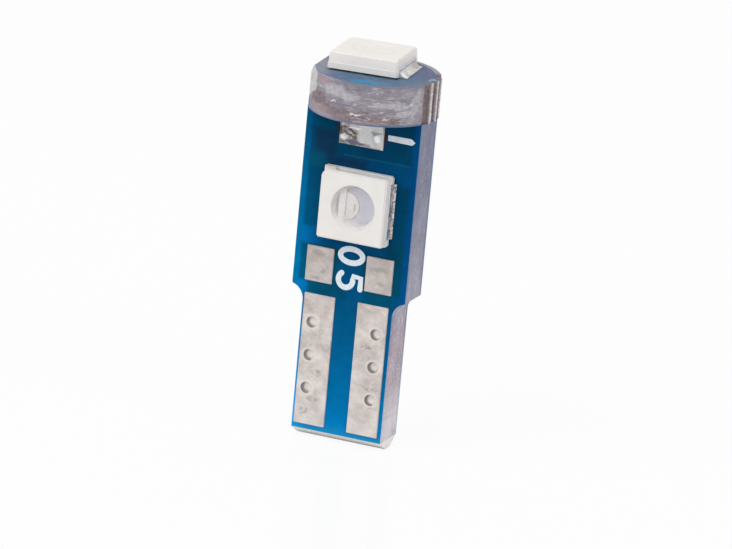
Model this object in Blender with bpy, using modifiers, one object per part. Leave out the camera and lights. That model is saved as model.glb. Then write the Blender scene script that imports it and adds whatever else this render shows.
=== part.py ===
"""Wedge base LED bulb: a flat circuit board whose narrow end is the wedge base, a round board
soldered across its top, and three surface-mount lamps, one on each face and one on top.

Metres, +Z up. The origin lies under the middle of the base, at the tip of its scored end.
The front face looks along -Y, and the back face carries the series resistor.
"""

import math

import bmesh
import bpy
from mathutils import Matrix, Vector

MM = 0.001

# Main board
BOARD_T = 2.0 * MM
BODY_W = 5.8 * MM
STEM_W = 4.6 * MM
STEM_TOP_Z = 6.76 * MM
SHOULDER_R = 0.74 * MM
SHOULDER_CORNER_R = 0.09 * MM
BOARD_TOP_Z = 16.25 * MM
SCORE_DROP = 0.45 * MM
SCORE_WEB_T = 0.5 * MM

# Round board on top: one breakaway tab left a stub with drilled bites, the other was cut straight
DISC_R = 3.09 * MM
DISC_T = 1.98 * MM
STUB_RISE = 0.07 * MM
BITE_COUNT = 4
BITE_R = 0.2 * MM
BITE_PITCH = 0.6 * MM
BITE_CENTRE_DEG = 2.0
BITE_INSET = 0.01 * MM
TAB_DEG = 184.5
TAB_DEPTH = 0.28 * MM
TAB_RUN = 1.7 * MM
TAB_BACK_DEG = 150.0

# Wear on its rim beside the cut: a broken top corner, and a rubbed flat with a slanting lower end
WORN_DEG = -152.0
WORN_DEPTH = 0.16 * MM
WORN_H = 0.28 * MM
RUBBED_DEG = -142.0
RUBBED_DEPTH = 0.055 * MM
RUBBED_H = 1.18 * MM
RUBBED_SLANT_DEG = 27.0

# Tinned copper: the two contacts wrap through the board at their filled vias
ARTWORK_X = -0.04 * MM
TIN_T = 0.06 * MM
TIN_EDGE = 0.02 * MM
CONTACT_W = 1.57 * MM
CONTACT_L = 6.46 * MM
CONTACT_Z = 0.7 * MM
CONTACT_X = 1.37 * MM
VIA_COUNT = 3
VIA_PITCH = 1.63 * MM
VIA_FIRST_Z = 2.51 * MM
VIA_X = 1.65 * MM
VIA_R = 0.34 * MM
VIA_DISH_R = 0.28 * MM
VIA_DISH_DEPTH = 0.18 * MM
VIA_DISH_SQUARE = 3.2

# Resistor lands on both faces, and the chip resistor on the back
LAND_W = 1.38 * MM
LAND_H = 1.73 * MM
LAND_X = 1.53 * MM
LAND_Z = 8.64 * MM
RESISTOR_L = 3.2 * MM
RESISTOR_W = 1.6 * MM
RESISTOR_T = 0.55 * MM
RESISTOR_CAP_L = 0.5 * MM
RESISTOR_CAP_T = 0.03 * MM
RESISTOR_COAT_T = 0.03 * MM
RESISTOR_FILLET_H = 0.4 * MM
SOLDER_FILM = 0.04 * MM

# Lamps: moulded housing, lead frame in two halves, die and clear filling
LED_L = 3.44 * MM
LED_W = 3.44 * MM
LED_H = 0.86 * MM
LED_DRAFT = 0.035 * MM
LED_BASE_STEP = 0.02 * MM
LED_EDGE_R = 0.06 * MM
LED_CORNER_CUT = 0.24 * MM
GATE_X = -1.32 * MM
GATE_W = 0.56 * MM
GATE_RISE = 0.1 * MM
GATE_T = 0.2 * MM
CUP_R = 1.12 * MM
CUP_FLOOR_R = 0.97 * MM
CUP_X = 0.06 * MM
LEAD_T = 0.12 * MM
LEAD_W = 2.7 * MM
LEAD_PLATE_Z = 0.33 * MM
LEAD_BEND_R = 0.06 * MM
LEAD_FOOT_IN = 0.5 * MM
DIVIDER_X = -0.65 * MM
DIVIDER_W = 0.32 * MM
DIVIDER_RISE = 0.14 * MM
SEAT_R = 0.66 * MM
SEAT_RISE = 0.05 * MM
DIE_SIDE = 0.34 * MM
DIE_T = 0.11 * MM
DIE_X = 0.28 * MM
FILL_BELOW = 0.03 * MM
LED_SOLDER_T = 0.05 * MM
LED_SOLDER_TOE = 0.02 * MM
LED_SOLDER_H = 0.3 * MM

# Where the lamps sit
FACE_LED_X = 0.1 * MM
FACE_LED_Z = 11.88 * MM
SMALL_FILLET = 0.12 * MM
TOP_LED_X = -0.4 * MM
TOP_LED_Y = 0.45 * MM
TOP_LED_TURN_DEG = 6.0
LARGE_FILLET = 0.36 * MM

# Solder joints between the two boards
JOINT_W = 2.26 * MM
JOINT_H = 1.55 * MM
JOINT_RUN = 0.55 * MM

# Hairline left between pieces that touch, and how far a cutter runs past what it cuts
SEAM = 0.01 * MM
PAST = 0.5 * MM

# How finely round shapes are drawn, what is shaded round, and the gap that joins drawn corners
BEND_STEPS = 4
HOLLOW_STEPS = 6
ARC_STEPS = 8
EASE_STEPS = 2
EASED_DEG = 40
BITE_STEPS = 16
ROUND_STEPS = 24
DISC_STEPS = 96
MELD = 0.0005 * MM

HALF_T = BOARD_T / 2
DISC_Z = BOARD_TOP_Z + SEAM
DISC_TOP_Z = DISC_Z + DISC_T
LED_FOOT_Z = LED_SOLDER_T + SEAM
CUP_FLOOR_Z = LEAD_PLATE_Z + LEAD_T
DIE_Z = CUP_FLOOR_Z + SEAT_RISE + SEAM
DIVIDER_EDGE = CUP_X + DIVIDER_X + DIVIDER_W / 2 + SEAM
DIE_CENTRE = DIVIDER_EDGE + DIE_X

# Looks: colour, roughness, metal, see-through
MASK_BLUE = ((0.01, 0.13, 0.33), 0.35, 0.0, 0.0)
MILLED = ((0.3, 0.29, 0.36), 0.55, 0.0, 0.0)
TINNED = ((0.52, 0.48, 0.44), 0.38, 0.9, 0.0)
BRIGHT_TIN = ((0.7, 0.7, 0.7), 0.25, 1.0, 0.0)
BLACK_COAT = ((0.02, 0.02, 0.022), 0.5, 0.0, 0.0)
OFF_WHITE = ((0.83, 0.81, 0.78), 0.45, 0.0, 0.0)
CLEAR = ((0.85, 0.85, 0.9), 0.05, 0.0, 0.9)
BARE_DIE = ((0.55, 0.6, 0.5), 0.3, 0.0, 0.0)


def clear_scene():
    for obj in list(bpy.data.objects):
        bpy.data.objects.remove(obj)


def new_collection(name):
    collection = bpy.data.collections.new(name)
    bpy.context.scene.collection.children.link(collection)
    return collection


def material(name, colour, roughness, metallic=0.0, transmission=0.0):
    made = bpy.data.materials.new(name)
    made.use_nodes = True
    shader = made.node_tree.nodes["Principled BSDF"]
    shader.inputs["Base Color"].default_value = (*colour, 1.0)
    shader.inputs["Roughness"].default_value = roughness
    shader.inputs["Metallic"].default_value = metallic
    shader.inputs["Transmission Weight"].default_value = transmission
    made.diffuse_color = (*colour, 1.0)
    return made


def add_part(name, mesh, look, parent=None, place=None):
    """A finished piece, in the bulb's collection, with a material of its own."""
    obj = bpy.data.objects.new(name, mesh)
    PARTS.objects.link(obj)
    colour, roughness, metallic, transmission = look
    mesh.materials.clear()
    mesh.materials.append(material(name, colour, roughness, metallic, transmission))
    obj.parent = parent
    if place:
        obj.matrix_local = place
    return obj


def add_cutter(name, mesh, parent=None, place=None):
    obj = bpy.data.objects.new(name, mesh)
    CUTTERS.objects.link(obj)
    obj.hide_render = True
    obj.display_type = "WIRE"
    obj.parent = parent
    if place:
        obj.matrix_local = place
    return obj


def combine(obj, tool, operation):
    modifier = obj.modifiers.new(tool.name, "BOOLEAN")
    modifier.operation = operation
    modifier.solver = "EXACT"
    modifier.object = tool


def smooth_round(mesh, degrees=30):
    mesh.shade_smooth()
    mesh.set_sharp_from_angle(angle=math.radians(degrees))


def bm_to_mesh(name, bm):
    bmesh.ops.recalc_face_normals(bm, faces=bm.faces)
    mesh = bpy.data.meshes.new(name)
    bm.to_mesh(mesh)
    bm.free()
    return mesh


def add_box(bm, low, high):
    low, high = Vector(low), Vector(high)
    scale = Matrix.Diagonal((*(high - low), 1.0))
    place = Matrix.Translation((low + high) / 2) @ scale
    return bmesh.ops.create_cube(bm, size=1.0, matrix=place)["verts"]


def box_mesh(name, low, high):
    bm = bmesh.new()
    add_box(bm, low, high)
    return bm_to_mesh(name, bm)


def add_cylinder(bm, centre, radius, height, top_radius=None, steps=ROUND_STEPS):
    """A cylinder or cone along local Z, standing on its centre point."""
    place = Matrix.Translation(Vector(centre) + Vector((0, 0, height / 2)))
    bmesh.ops.create_cone(
        bm,
        cap_ends=True,
        segments=steps,
        radius1=radius,
        radius2=radius if top_radius is None else top_radius,
        depth=height,
        matrix=place,
    )


def outline_mesh(name, points, depth, turn=None):
    """A flat outline in XY, given its thickness about Z = 0, then turned into place."""
    curve = bpy.data.curves.new(name, "CURVE")
    curve.dimensions = "2D"
    curve.fill_mode = "BOTH"
    curve.extrude = depth / 2
    spline = curve.splines.new("POLY")
    spline.points.add(len(points) - 1)
    for point, (x, y) in zip(spline.points, points):
        point.co = (x, y, 0.0, 1.0)
    spline.use_cyclic_u = True
    guide = bpy.data.objects.new(name, curve)
    CUTTERS.objects.link(guide)
    bpy.context.view_layer.update()
    drawn = guide.evaluated_get(bpy.context.evaluated_depsgraph_get())
    bm = bmesh.new()
    bm.from_mesh(bpy.data.meshes.new_from_object(drawn))
    bmesh.ops.remove_doubles(bm, verts=bm.verts, dist=MELD)
    bpy.data.objects.remove(guide)
    if turn:
        bmesh.ops.transform(bm, matrix=turn, verts=bm.verts)
    return bm_to_mesh(name, bm)


def arc(centre, radius, start, end, steps=ARC_STEPS):
    """Points along an arc, its angles in degrees."""
    angles = [math.radians(start + (end - start) * i / steps) for i in range(steps + 1)]
    return [(centre[0] + radius * math.cos(a), centre[1] + radius * math.sin(a)) for a in angles]


# XZ and YZ outlines are drawn flat and turned up into place
FACE_ON = Matrix.Rotation(math.radians(90), 4, "X")
EDGE_ON = Matrix(((0, 0, 1, 0), (1, 0, 0, 0), (0, 1, 0, 0), (0, 0, 0, 1)))


def board_outline():
    """Right half from the foot up, then its mirror image: wedge stem, hollow shoulder, wide body."""
    stem, body = STEM_W / 2, BODY_W / 2
    centre = (stem + SHOULDER_R, STEM_TOP_Z)
    corner_x = body - SHOULDER_CORNER_R
    across = (centre[0] - corner_x) / SHOULDER_R
    meet = math.degrees(math.acos(max(-1.0, min(1.0, across))))
    shoulder = arc(centre, SHOULDER_R, 180.0, 180.0 - meet)
    corner_z = shoulder[-1][1] + SHOULDER_CORNER_R
    corner = arc((corner_x, corner_z), SHOULDER_CORNER_R, -90.0, 0.0, BEND_STEPS)[1:]
    right = [(stem, 0.0), *shoulder, *corner, (body, BOARD_TOP_Z)]
    return right + [(-x, z) for x, z in reversed(right)]


def make_main_board():
    mesh = outline_mesh("main_board", board_outline(), BOARD_T, FACE_ON)
    board = add_part("main_board", mesh, MASK_BLUE)
    web, face = SCORE_WEB_T / 2, HALF_T + PAST
    rise = SCORE_DROP * (face - web) / (HALF_T - web)
    edge = [(-web, 0.0), (web, 0.0), (face, rise), (face, BOARD_TOP_Z + PAST)]
    edge += [(-face, BOARD_TOP_Z + PAST), (-face, rise)]
    profile = outline_mesh("scored_edge", edge, BODY_W + PAST, EDGE_ON)
    combine(board, add_cutter("scored_edge", profile), "INTERSECT")
    bm = bmesh.new()
    for side in (-1, 1):
        add_via_rods(bm, side, VIA_R + SEAM, HALF_T + PAST)
    combine(board, add_cutter("via_drills", bm_to_mesh("via_drills", bm)), "DIFFERENCE")


def via_heights():
    return [VIA_FIRST_Z + i * VIA_PITCH for i in range(VIA_COUNT)]


def via_x(side):
    return side * VIA_X + ARTWORK_X


def add_via_rods(bm, side, radius, reach):
    """Round rods through the board at one contact's vias, reaching as far out of either face."""
    for z in via_heights():
        start = len(bm.verts)
        add_cylinder(bm, (0, 0, -reach), radius, 2 * reach)
        bm.verts.ensure_lookup_table()
        place = Matrix.Translation((via_x(side), 0, z)) @ FACE_ON
        bmesh.ops.transform(bm, matrix=place, verts=bm.verts[start:])


def bite_span():
    """The angle in degrees from the first bite to the last."""
    return math.degrees(BITE_PITCH / DISC_R) * (BITE_COUNT - 1)


def disc_outline():
    """Round from the stub at the right: the back, the cut tab at the left, then the front."""
    first, last = BITE_CENTRE_DEG - bite_span() / 2, BITE_CENTRE_DEG + bite_span() / 2
    out = DISC_R - TAB_DEPTH
    turn = math.radians(TAB_DEG)
    tab_x = out * math.cos(turn) + TAB_RUN * math.sin(turn)
    tab_y = out * math.sin(turn) - TAB_RUN * math.cos(turn)
    front = TAB_DEG + math.degrees(math.acos(out / DISC_R))
    outline = arc((0, 0), DISC_R + STUB_RISE, first, last)
    outline += arc((0, 0), DISC_R, last, TAB_BACK_DEG, DISC_STEPS // 2)
    outline.append((tab_x, tab_y))
    return outline + arc((0, 0), DISC_R, front, first + 360.0, DISC_STEPS // 2)


def wear_rim(disc, name, degrees, depth, height, turn):
    """Takes a shallow flat off the disc's rim, from its top down as far as the cutter reaches."""
    tool = box_mesh(name, (0, -DISC_R, -height), (DISC_R, DISC_R, DISC_T))
    around = Matrix.Rotation(math.radians(degrees), 4, "Z")
    out = Matrix.Translation((DISC_R - depth, 0, DISC_TOP_Z))
    combine(disc, add_cutter(name, tool, place=around @ out @ turn), "DIFFERENCE")


def make_top_board():
    """A routed disc with one breakaway stub, the holes that weakened it, and its worn rim."""
    lift = Matrix.Translation((0, 0, DISC_Z + DISC_T / 2))
    mesh = outline_mesh("top_board", disc_outline(), DISC_T, lift)
    disc = add_part("top_board", mesh, MILLED)
    smooth_round(mesh)
    bm = bmesh.new()
    for i in range(BITE_COUNT):
        turn = math.radians(BITE_CENTRE_DEG + bite_span() * (i / (BITE_COUNT - 1) - 0.5))
        reach = DISC_R + BITE_INSET
        centre = (reach * math.cos(turn), reach * math.sin(turn), DISC_Z - PAST)
        add_cylinder(bm, centre, BITE_R, DISC_T + 2 * PAST, steps=BITE_STEPS)
    combine(disc, add_cutter("breakaway_holes", bm_to_mesh("breakaway_holes", bm)), "DIFFERENCE")
    lean = Matrix.Rotation(-math.atan2(WORN_DEPTH, WORN_H), 4, "Y")
    wear_rim(disc, "worn_corner", WORN_DEG, WORN_DEPTH, DISC_T, lean)
    slant = Matrix.Rotation(math.radians(RUBBED_SLANT_DEG), 4, "X")
    wear_rim(disc, "rubbed_flat", RUBBED_DEG, RUBBED_DEPTH, RUBBED_H, slant)


def add_tin(bm, centre_x, low_z, width, height, outward):
    """One tinned land on the front (outward -1) or back face, its outer edges eased."""
    inner = outward * (HALF_T + SEAM)
    outer = inner + outward * TIN_T
    low = (centre_x - width / 2, min(inner, outer), low_z)
    high = (centre_x + width / 2, max(inner, outer), low_z + height)
    verts = add_box(bm, low, high)
    edges = {e for v in verts for e in v.link_edges}
    eased = [e for e in edges if all(abs(v.co.y - outer) < SEAM / 2 for v in e.verts)]
    eased += [e for e in edges if abs(e.verts[0].co.y - e.verts[1].co.y) > TIN_T / 2]
    bmesh.ops.bevel(bm, geom=eased, offset=TIN_EDGE, segments=EASE_STEPS, affect="EDGES")


def via_dish():
    """Turned cutter for one via: steep sides and a dished floor, as solder settles in the hole."""
    turns = [math.radians(90.0 * i / ARC_STEPS) for i in range(ARC_STEPS + 1)]
    power = 2 / VIA_DISH_SQUARE
    profile = [(0.0, PAST), (VIA_DISH_R, PAST)]
    for turn in turns:
        share, fall = max(math.cos(turn), 0.0) ** power, math.sin(turn) ** power
        profile.append((VIA_DISH_R * share, -VIA_DISH_DEPTH * fall))
    mesh = bpy.data.meshes.new("via_dish")
    verts = [(x, 0.0, z) for x, z in profile]
    mesh.from_pydata(verts, [(i, i + 1) for i in range(len(verts) - 1)], [])
    guide = bpy.data.objects.new("via_dish", mesh)
    CUTTERS.objects.link(guide)
    screw = guide.modifiers.new("turn", "SCREW")
    screw.steps = screw.render_steps = ROUND_STEPS
    screw.use_merge_vertices = True
    screw.merge_threshold = MELD
    bpy.context.view_layer.update()
    turned = guide.evaluated_get(bpy.context.evaluated_depsgraph_get())
    made = bpy.data.meshes.new_from_object(turned)
    bpy.data.objects.remove(guide)
    return made


def make_contacts():
    """Each contact is one piece: a land on either face, joined through the board by its vias."""
    dish = via_dish()
    face = HALF_T + SEAM + TIN_T
    for name, side in (("contact_left", -1), ("contact_right", 1)):
        x = side * CONTACT_X + ARTWORK_X
        bm = bmesh.new()
        add_tin(bm, x, CONTACT_Z, CONTACT_W, CONTACT_L, -1)
        contact = add_part(name, bm_to_mesh(name, bm), TINNED)
        bm = bmesh.new()
        add_via_rods(bm, side, VIA_R, HALF_T + SEAM + TIN_T / 2)
        combine(contact, add_cutter(f"{name}_barrels", bm_to_mesh("barrels", bm)), "UNION")
        bm = bmesh.new()
        add_tin(bm, x, CONTACT_Z, CONTACT_W, CONTACT_L, 1)
        combine(contact, add_cutter(f"{name}_back", bm_to_mesh("back", bm)), "UNION")
        bm = bmesh.new()
        for z in via_heights():
            for outward in (-1, 1):
                start = len(bm.verts)
                bm.from_mesh(dish)
                bm.verts.ensure_lookup_table()
                stand = Matrix.Rotation(math.radians(-90 * outward), 4, "X")
                place = Matrix.Translation((via_x(side), outward * face, z)) @ stand
                bmesh.ops.transform(bm, matrix=place, verts=bm.verts[start:])
        combine(contact, add_cutter(f"{name}_dishes", bm_to_mesh("dishes", bm)), "DIFFERENCE")


def make_front_lands():
    """The front resistor place is left empty: two bare tinned lands."""
    for name, side in (("front_land_left", -1), ("front_land_right", 1)):
        bm = bmesh.new()
        add_tin(bm, side * LAND_X + ARTWORK_X, LAND_Z - LAND_H / 2, LAND_W, LAND_H, -1)
        add_part(name, bm_to_mesh(name, bm), TINNED)


def make_resistor():
    """Chip resistor on the back: ceramic with its dark coat, two wrapped end caps, two joints."""
    base = HALF_T + SEAM
    seat = base + TIN_T + SOLDER_FILM
    low_z, high_z = LAND_Z - RESISTOR_W / 2, LAND_Z + RESISTOR_W / 2
    half = RESISTOR_L / 2
    cap = RESISTOR_CAP_T + SEAM
    core_low, core_high = seat + cap, seat + RESISTOR_T - RESISTOR_CAP_T - SEAM
    core = box_mesh(
        "resistor_body",
        (ARTWORK_X - half + cap, core_low, low_z),
        (ARTWORK_X + half - cap, core_high, high_z),
    )
    body = add_part("resistor_body", core, BLACK_COAT)
    window = half - RESISTOR_CAP_L - SEAM
    coat = box_mesh(
        "resistor_coat",
        (ARTWORK_X - window, core_high - RESISTOR_COAT_T, low_z + RESISTOR_CAP_T),
        (ARTWORK_X + window, core_high + RESISTOR_COAT_T, high_z - RESISTOR_CAP_T),
    )
    combine(body, add_cutter("resistor_coat", coat), "UNION")
    for name, side in (("left", -1), ("right", 1)):
        out, inn = ARTWORK_X + side * half, ARTWORK_X + side * (half - RESISTOR_CAP_L)
        low = (min(out, inn), seat, low_z)
        high = (max(out, inn), seat + RESISTOR_T, high_z)
        end = add_part(f"resistor_cap_{name}", box_mesh("cap", low, high), BRIGHT_TIN)
        reach = ARTWORK_X + side * (half - RESISTOR_CAP_T)
        far = ARTWORK_X + side * (half - RESISTOR_CAP_L - PAST)
        hollow = box_mesh(
            "cap_hollow",
            (min(reach, far), core_low - SEAM, low_z - PAST),
            (max(reach, far), core_high + SEAM, high_z + PAST),
        )
        combine(end, add_cutter(f"cap_hollow_{name}", hollow), "DIFFERENCE")
        make_resistor_joint(name, side, base, seat)


def make_resistor_joint(name, side, base, seat):
    """The land with its solder: a film under the cap and a hollow fillet up its end."""
    inner = side * (LAND_X - LAND_W / 2)
    outer = side * (LAND_X + LAND_W / 2)
    cap_face = side * (RESISTOR_L / 2 + SEAM)
    film = seat - SEAM
    curve = hollow_curve((outer, base + TIN_T), (cap_face, seat + RESISTOR_FILLET_H))
    points = [(inner, base), (outer, base), *curve, (cap_face, film), (inner, film)]
    place = Matrix.Translation((ARTWORK_X, 0, LAND_Z))
    mesh = outline_mesh("resistor_joint", points, LAND_H, place)
    add_part(f"resistor_joint_{name}", mesh, BRIGHT_TIN)


def hollow_curve(start, end):
    """Points of a quarter oval that leaves its start level and ends upright, like wetted solder."""
    run, rise = end[0] - start[0], end[1] - start[1]
    turns = [math.radians(90.0 * i / HOLLOW_STEPS) for i in range(HOLLOW_STEPS + 1)]
    return [(start[0] + run * math.sin(t), end[1] - rise * math.cos(t)) for t in turns]


def make_board_joints():
    """A tinned land and its solder in the corner between each face and the round board."""
    base, low = HALF_T + SEAM, BOARD_TOP_Z - JOINT_H
    foot = (low, base + TIN_T)
    head = (BOARD_TOP_Z, base + TIN_T + JOINT_RUN)
    for name, outward in (("board_joint_front", -1), ("board_joint_back", 1)):
        slope = [(y, z) for z, y in hollow_curve(foot, head)]
        points = [(base, BOARD_TOP_Z), (base, low), *slope]
        points = [(outward * y, z) for y, z in points]
        shift = Matrix.Translation((-outward * ARTWORK_X, 0, 0))
        add_part(name, outline_mesh(name, points, JOINT_W, shift @ EDGE_ON), BRIGHT_TIN)


def rounded_path(points, radius):
    """A bent centreline: straight runs joined by arcs, as (point, direction) pairs."""
    path = []
    for i, point in enumerate(points):
        here = Vector(point)
        if i in (0, len(points) - 1):
            ahead = Vector(points[1]) - here if i == 0 else here - Vector(points[-2])
            path.append((here, ahead.normalized()))
            continue
        before = (here - Vector(points[i - 1])).normalized()
        after = (Vector(points[i + 1]) - here).normalized()
        turn = before.angle_signed(after)
        reach = radius * math.tan(abs(turn) / 2)
        side = -1.0 if turn > 0 else 1.0
        normal = Vector((-before.y, before.x)) * side
        centre = here - before * reach + normal * radius
        for k in range(BEND_STEPS + 1):
            swing = Matrix.Rotation(-turn * k / BEND_STEPS, 2)
            path.append((centre - swing @ (normal * radius), swing @ before))
    return path


def strip_outline(points, thickness, radius):
    """The outline of a bent strip, offset either side of its centreline."""
    left, right = [], []
    for point, ahead in rounded_path(points, radius):
        normal = Vector((-ahead.y, ahead.x)) * thickness / 2
        left.append(tuple(point + normal))
        right.append(tuple(point - normal))
    return left + right[::-1]


def make_led(name, frame, fillets):
    """One lamp in its own frame: X along its leads, Y across them, Z out of the board."""
    make_housing(name, frame)
    for side_name, side, fillet in (("left", -1, fillets[0]), ("right", 1, fillets[1])):
        make_lead(f"{name}_lead_{side_name}", side, frame)
        make_led_joint(f"{name}_solder_{side_name}", side, frame, fillet)
    half = DIE_SIDE / 2
    low = (DIE_CENTRE - half, -half, DIE_Z)
    high = (DIE_CENTRE + half, half, DIE_Z + DIE_T)
    add_part(f"{name}_die", box_mesh("die", low, high), BARE_DIE, frame)
    make_filling(name, frame)


def cup_mesh(name, floor, top, shrink=0.0):
    """The tapered cup between two heights, as a cone cut off at both."""
    slope = (CUP_R - CUP_FLOOR_R) / (LED_H - CUP_FLOOR_Z)
    low = CUP_FLOOR_R + (floor - CUP_FLOOR_Z) * slope - shrink
    high = CUP_FLOOR_R + (top - CUP_FLOOR_Z) * slope - shrink
    bm = bmesh.new()
    add_cylinder(bm, (CUP_X, 0, floor), low, top - floor, top_radius=high, steps=2 * ROUND_STEPS)
    return bm_to_mesh(name, bm)


def upright_edges(bm):
    """Edges that run more up than across."""
    return [e for e in bm.edges if abs(e.verts[0].co.z - e.verts[1].co.z) > e.calc_length() / 2]


def housing_top_mesh():
    """The drafted upper half: its edges are eased, and one corner is cut to mark its way round."""
    half_l, half_w = LED_L / 2 - LED_BASE_STEP, LED_W / 2 - LED_BASE_STEP
    bm = bmesh.new()
    add_box(bm, (-half_l, -half_w, LEAD_PLATE_Z), (half_l, half_w, LED_H))
    for vert in bm.verts:
        if vert.co.z > CUP_FLOOR_Z:
            vert.co.x -= math.copysign(LED_DRAFT, vert.co.x)
            vert.co.y -= math.copysign(LED_DRAFT, vert.co.y)
    marked = [e for e in upright_edges(bm) if all(v.co.x < 0 < v.co.y for v in e.verts)]
    bmesh.ops.bevel(bm, geom=marked, offset=LED_CORNER_CUT, segments=1, affect="EDGES")
    rim = [e for e in bm.edges if all(v.co.z > CUP_FLOOR_Z for v in e.verts)]
    eased = rim + upright_edges(bm)
    bmesh.ops.bevel(bm, geom=eased, offset=LED_EDGE_R, segments=EASE_STEPS, affect="EDGES")
    mesh = bm_to_mesh("housing", bm)
    smooth_round(mesh, EASED_DEG)
    return mesh


def housing_base_mesh():
    """The full-size lower half, level with the undersides of the feet."""
    bm = bmesh.new()
    low = (-LED_L / 2, -LED_W / 2, LED_FOOT_Z)
    add_box(bm, low, (LED_L / 2, LED_W / 2, LEAD_PLATE_Z + SEAM))
    eased = upright_edges(bm)
    bmesh.ops.bevel(bm, geom=eased, offset=LED_EDGE_R, segments=EASE_STEPS, affect="EDGES")
    return bm_to_mesh("base", bm)


def gate_mesh():
    """The nub left on one wall where the mould was filled."""
    out = LED_W / 2 - LED_BASE_STEP + GATE_RISE
    low = (GATE_X - GATE_W / 2, out - GATE_RISE - GATE_T, CUP_FLOOR_Z)
    return box_mesh("gate", low, (GATE_X + GATE_W / 2, out, CUP_FLOOR_Z + GATE_T))


def lead_slot_mesh(side):
    """Room for one half of the lead frame, open at the wall it runs down and at the underside."""
    near = CUP_X + DIVIDER_X + side * DIVIDER_W / 2
    far = side * (LED_L / 2 + PAST)
    wall = side * (LED_L / 2 - LEAD_T - SEAM)
    tip = side * (LED_L / 2 - LEAD_FOOT_IN - SEAM)
    under_plate, over_foot = LEAD_PLATE_Z - SEAM, LED_FOOT_Z + LEAD_T + SEAM
    inset = wall - side * LEAD_BEND_R
    points = [(near, under_plate), (inset, under_plate), (wall, under_plate - LEAD_BEND_R)]
    points += [(wall, over_foot + LEAD_BEND_R), (inset, over_foot), (tip, over_foot)]
    points += [(tip, -PAST), (far, -PAST), (far, CUP_FLOOR_Z + SEAM), (near, CUP_FLOOR_Z + SEAM)]
    return outline_mesh("slot", points, LEAD_W + 2 * SEAM, FACE_ON)


def divider_mesh(grow, top):
    """The moulded bar between the lead frame's halves, let into the cup wall at both ends."""
    centre, half = CUP_X + DIVIDER_X, DIVIDER_W / 2 + grow
    chord = math.sqrt(max(CUP_R**2 - DIVIDER_X**2, 0.0)) + grow
    low = (centre - half, -chord, LEAD_PLATE_Z + SEAM)
    return box_mesh("divider", low, (centre + half, chord, top))


def make_housing(name, frame):
    """Moulded round the lead frame: a low base, a drafted upper half, the cup and its divider."""
    housing = add_part(f"{name}_housing", housing_top_mesh(), OFF_WHITE, frame)
    steps = [
        ("base", housing_base_mesh(), "UNION"),
        ("gate", gate_mesh(), "UNION"),
        ("cup", cup_mesh("cup", CUP_FLOOR_Z, LED_H + PAST), "DIFFERENCE"),
        ("slot_left", lead_slot_mesh(-1), "DIFFERENCE"),
        ("slot_right", lead_slot_mesh(1), "DIFFERENCE"),
        ("divider", divider_mesh(0.0, CUP_FLOOR_Z + DIVIDER_RISE), "UNION"),
    ]
    for step_name, mesh, operation in steps:
        combine(housing, add_cutter(f"{name}_{step_name}", mesh, frame), operation)


def make_lead(name, side, frame):
    """Half of the lead frame: cup floor, out through the wall, down the side and folded under."""
    plate, foot = LEAD_PLATE_Z + LEAD_T / 2, LED_FOOT_Z + LEAD_T / 2
    inner = CUP_X + DIVIDER_X + side * (DIVIDER_W / 2 + SEAM)
    tab = side * (LED_L - LEAD_T) / 2
    tip = side * (LED_L / 2 - LEAD_FOOT_IN)
    points = [(inner, plate), (tab, plate), (tab, foot), (tip, foot)]
    outline = strip_outline(points, LEAD_T, LEAD_BEND_R + LEAD_T / 2)
    mesh = outline_mesh(name, outline, LEAD_W, FACE_ON)
    smooth_round(mesh)
    lead = add_part(name, mesh, BRIGHT_TIN, frame)
    if side > 0:
        points = arc((inner, 0), SEAT_R, -90.0, 90.0, ROUND_STEPS)
        depth = CUP_FLOOR_Z + SEAT_RISE - plate
        lift = Matrix.Translation((0, 0, plate + depth / 2))
        seat = outline_mesh("seat", points, depth, lift)
        combine(lead, add_cutter(f"{name}_seat", seat, frame), "UNION")


def make_led_joint(name, side, frame, fillet):
    """Solder under the foot and a small hollow fillet against the outside of the lead."""
    inner = side * (LED_L / 2 - LEAD_FOOT_IN)
    wall = side * (LED_L / 2 + SEAM)
    outer = wall + side * fillet
    curve = hollow_curve((outer, LED_SOLDER_TOE), (wall, LED_SOLDER_H))
    points = [(inner, 0.0), (outer, 0.0), *curve, (wall, LED_SOLDER_T), (inner, LED_SOLDER_T)]
    add_part(name, outline_mesh(name, points, LEAD_W, FACE_ON), BRIGHT_TIN, frame)


def make_filling(name, frame):
    """Clear filling of the cup, clear of the divider, the die seat and the die."""
    mesh = cup_mesh("filling", CUP_FLOOR_Z + SEAM, LED_H - FILL_BELOW, shrink=SEAM)
    smooth_round(mesh)
    filling = add_part(f"{name}_lens", mesh, CLEAR, frame)
    bm = bmesh.new()
    seat, rise = (DIVIDER_EDGE, 0, CUP_FLOOR_Z - SEAM), SEAT_RISE + 2 * SEAM
    add_cylinder(bm, seat, SEAT_R + SEAM, rise, steps=2 * ROUND_STEPS)
    half = DIE_SIDE / 2 + SEAM
    low = (DIE_CENTRE - half, -half, CUP_FLOOR_Z)
    high = (DIE_CENTRE + half, half, DIE_Z + DIE_T + SEAM)
    rooms = [
        ("rib_room", divider_mesh(SEAM, CUP_FLOOR_Z + DIVIDER_RISE + SEAM)),
        ("seat_room", bm_to_mesh("seat_room", bm)),
        ("die_room", box_mesh("die_room", low, high)),
    ]
    for room_name, mesh in rooms:
        combine(filling, add_cutter(f"{name}_{room_name}", mesh, frame), "DIFFERENCE")


def led_frame(name, location, rotation):
    empty = bpy.data.objects.new(f"{name}_frame", None)
    PARTS.objects.link(empty)
    empty.location = location
    empty.rotation_euler = [math.radians(a) for a in rotation]
    return empty


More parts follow.
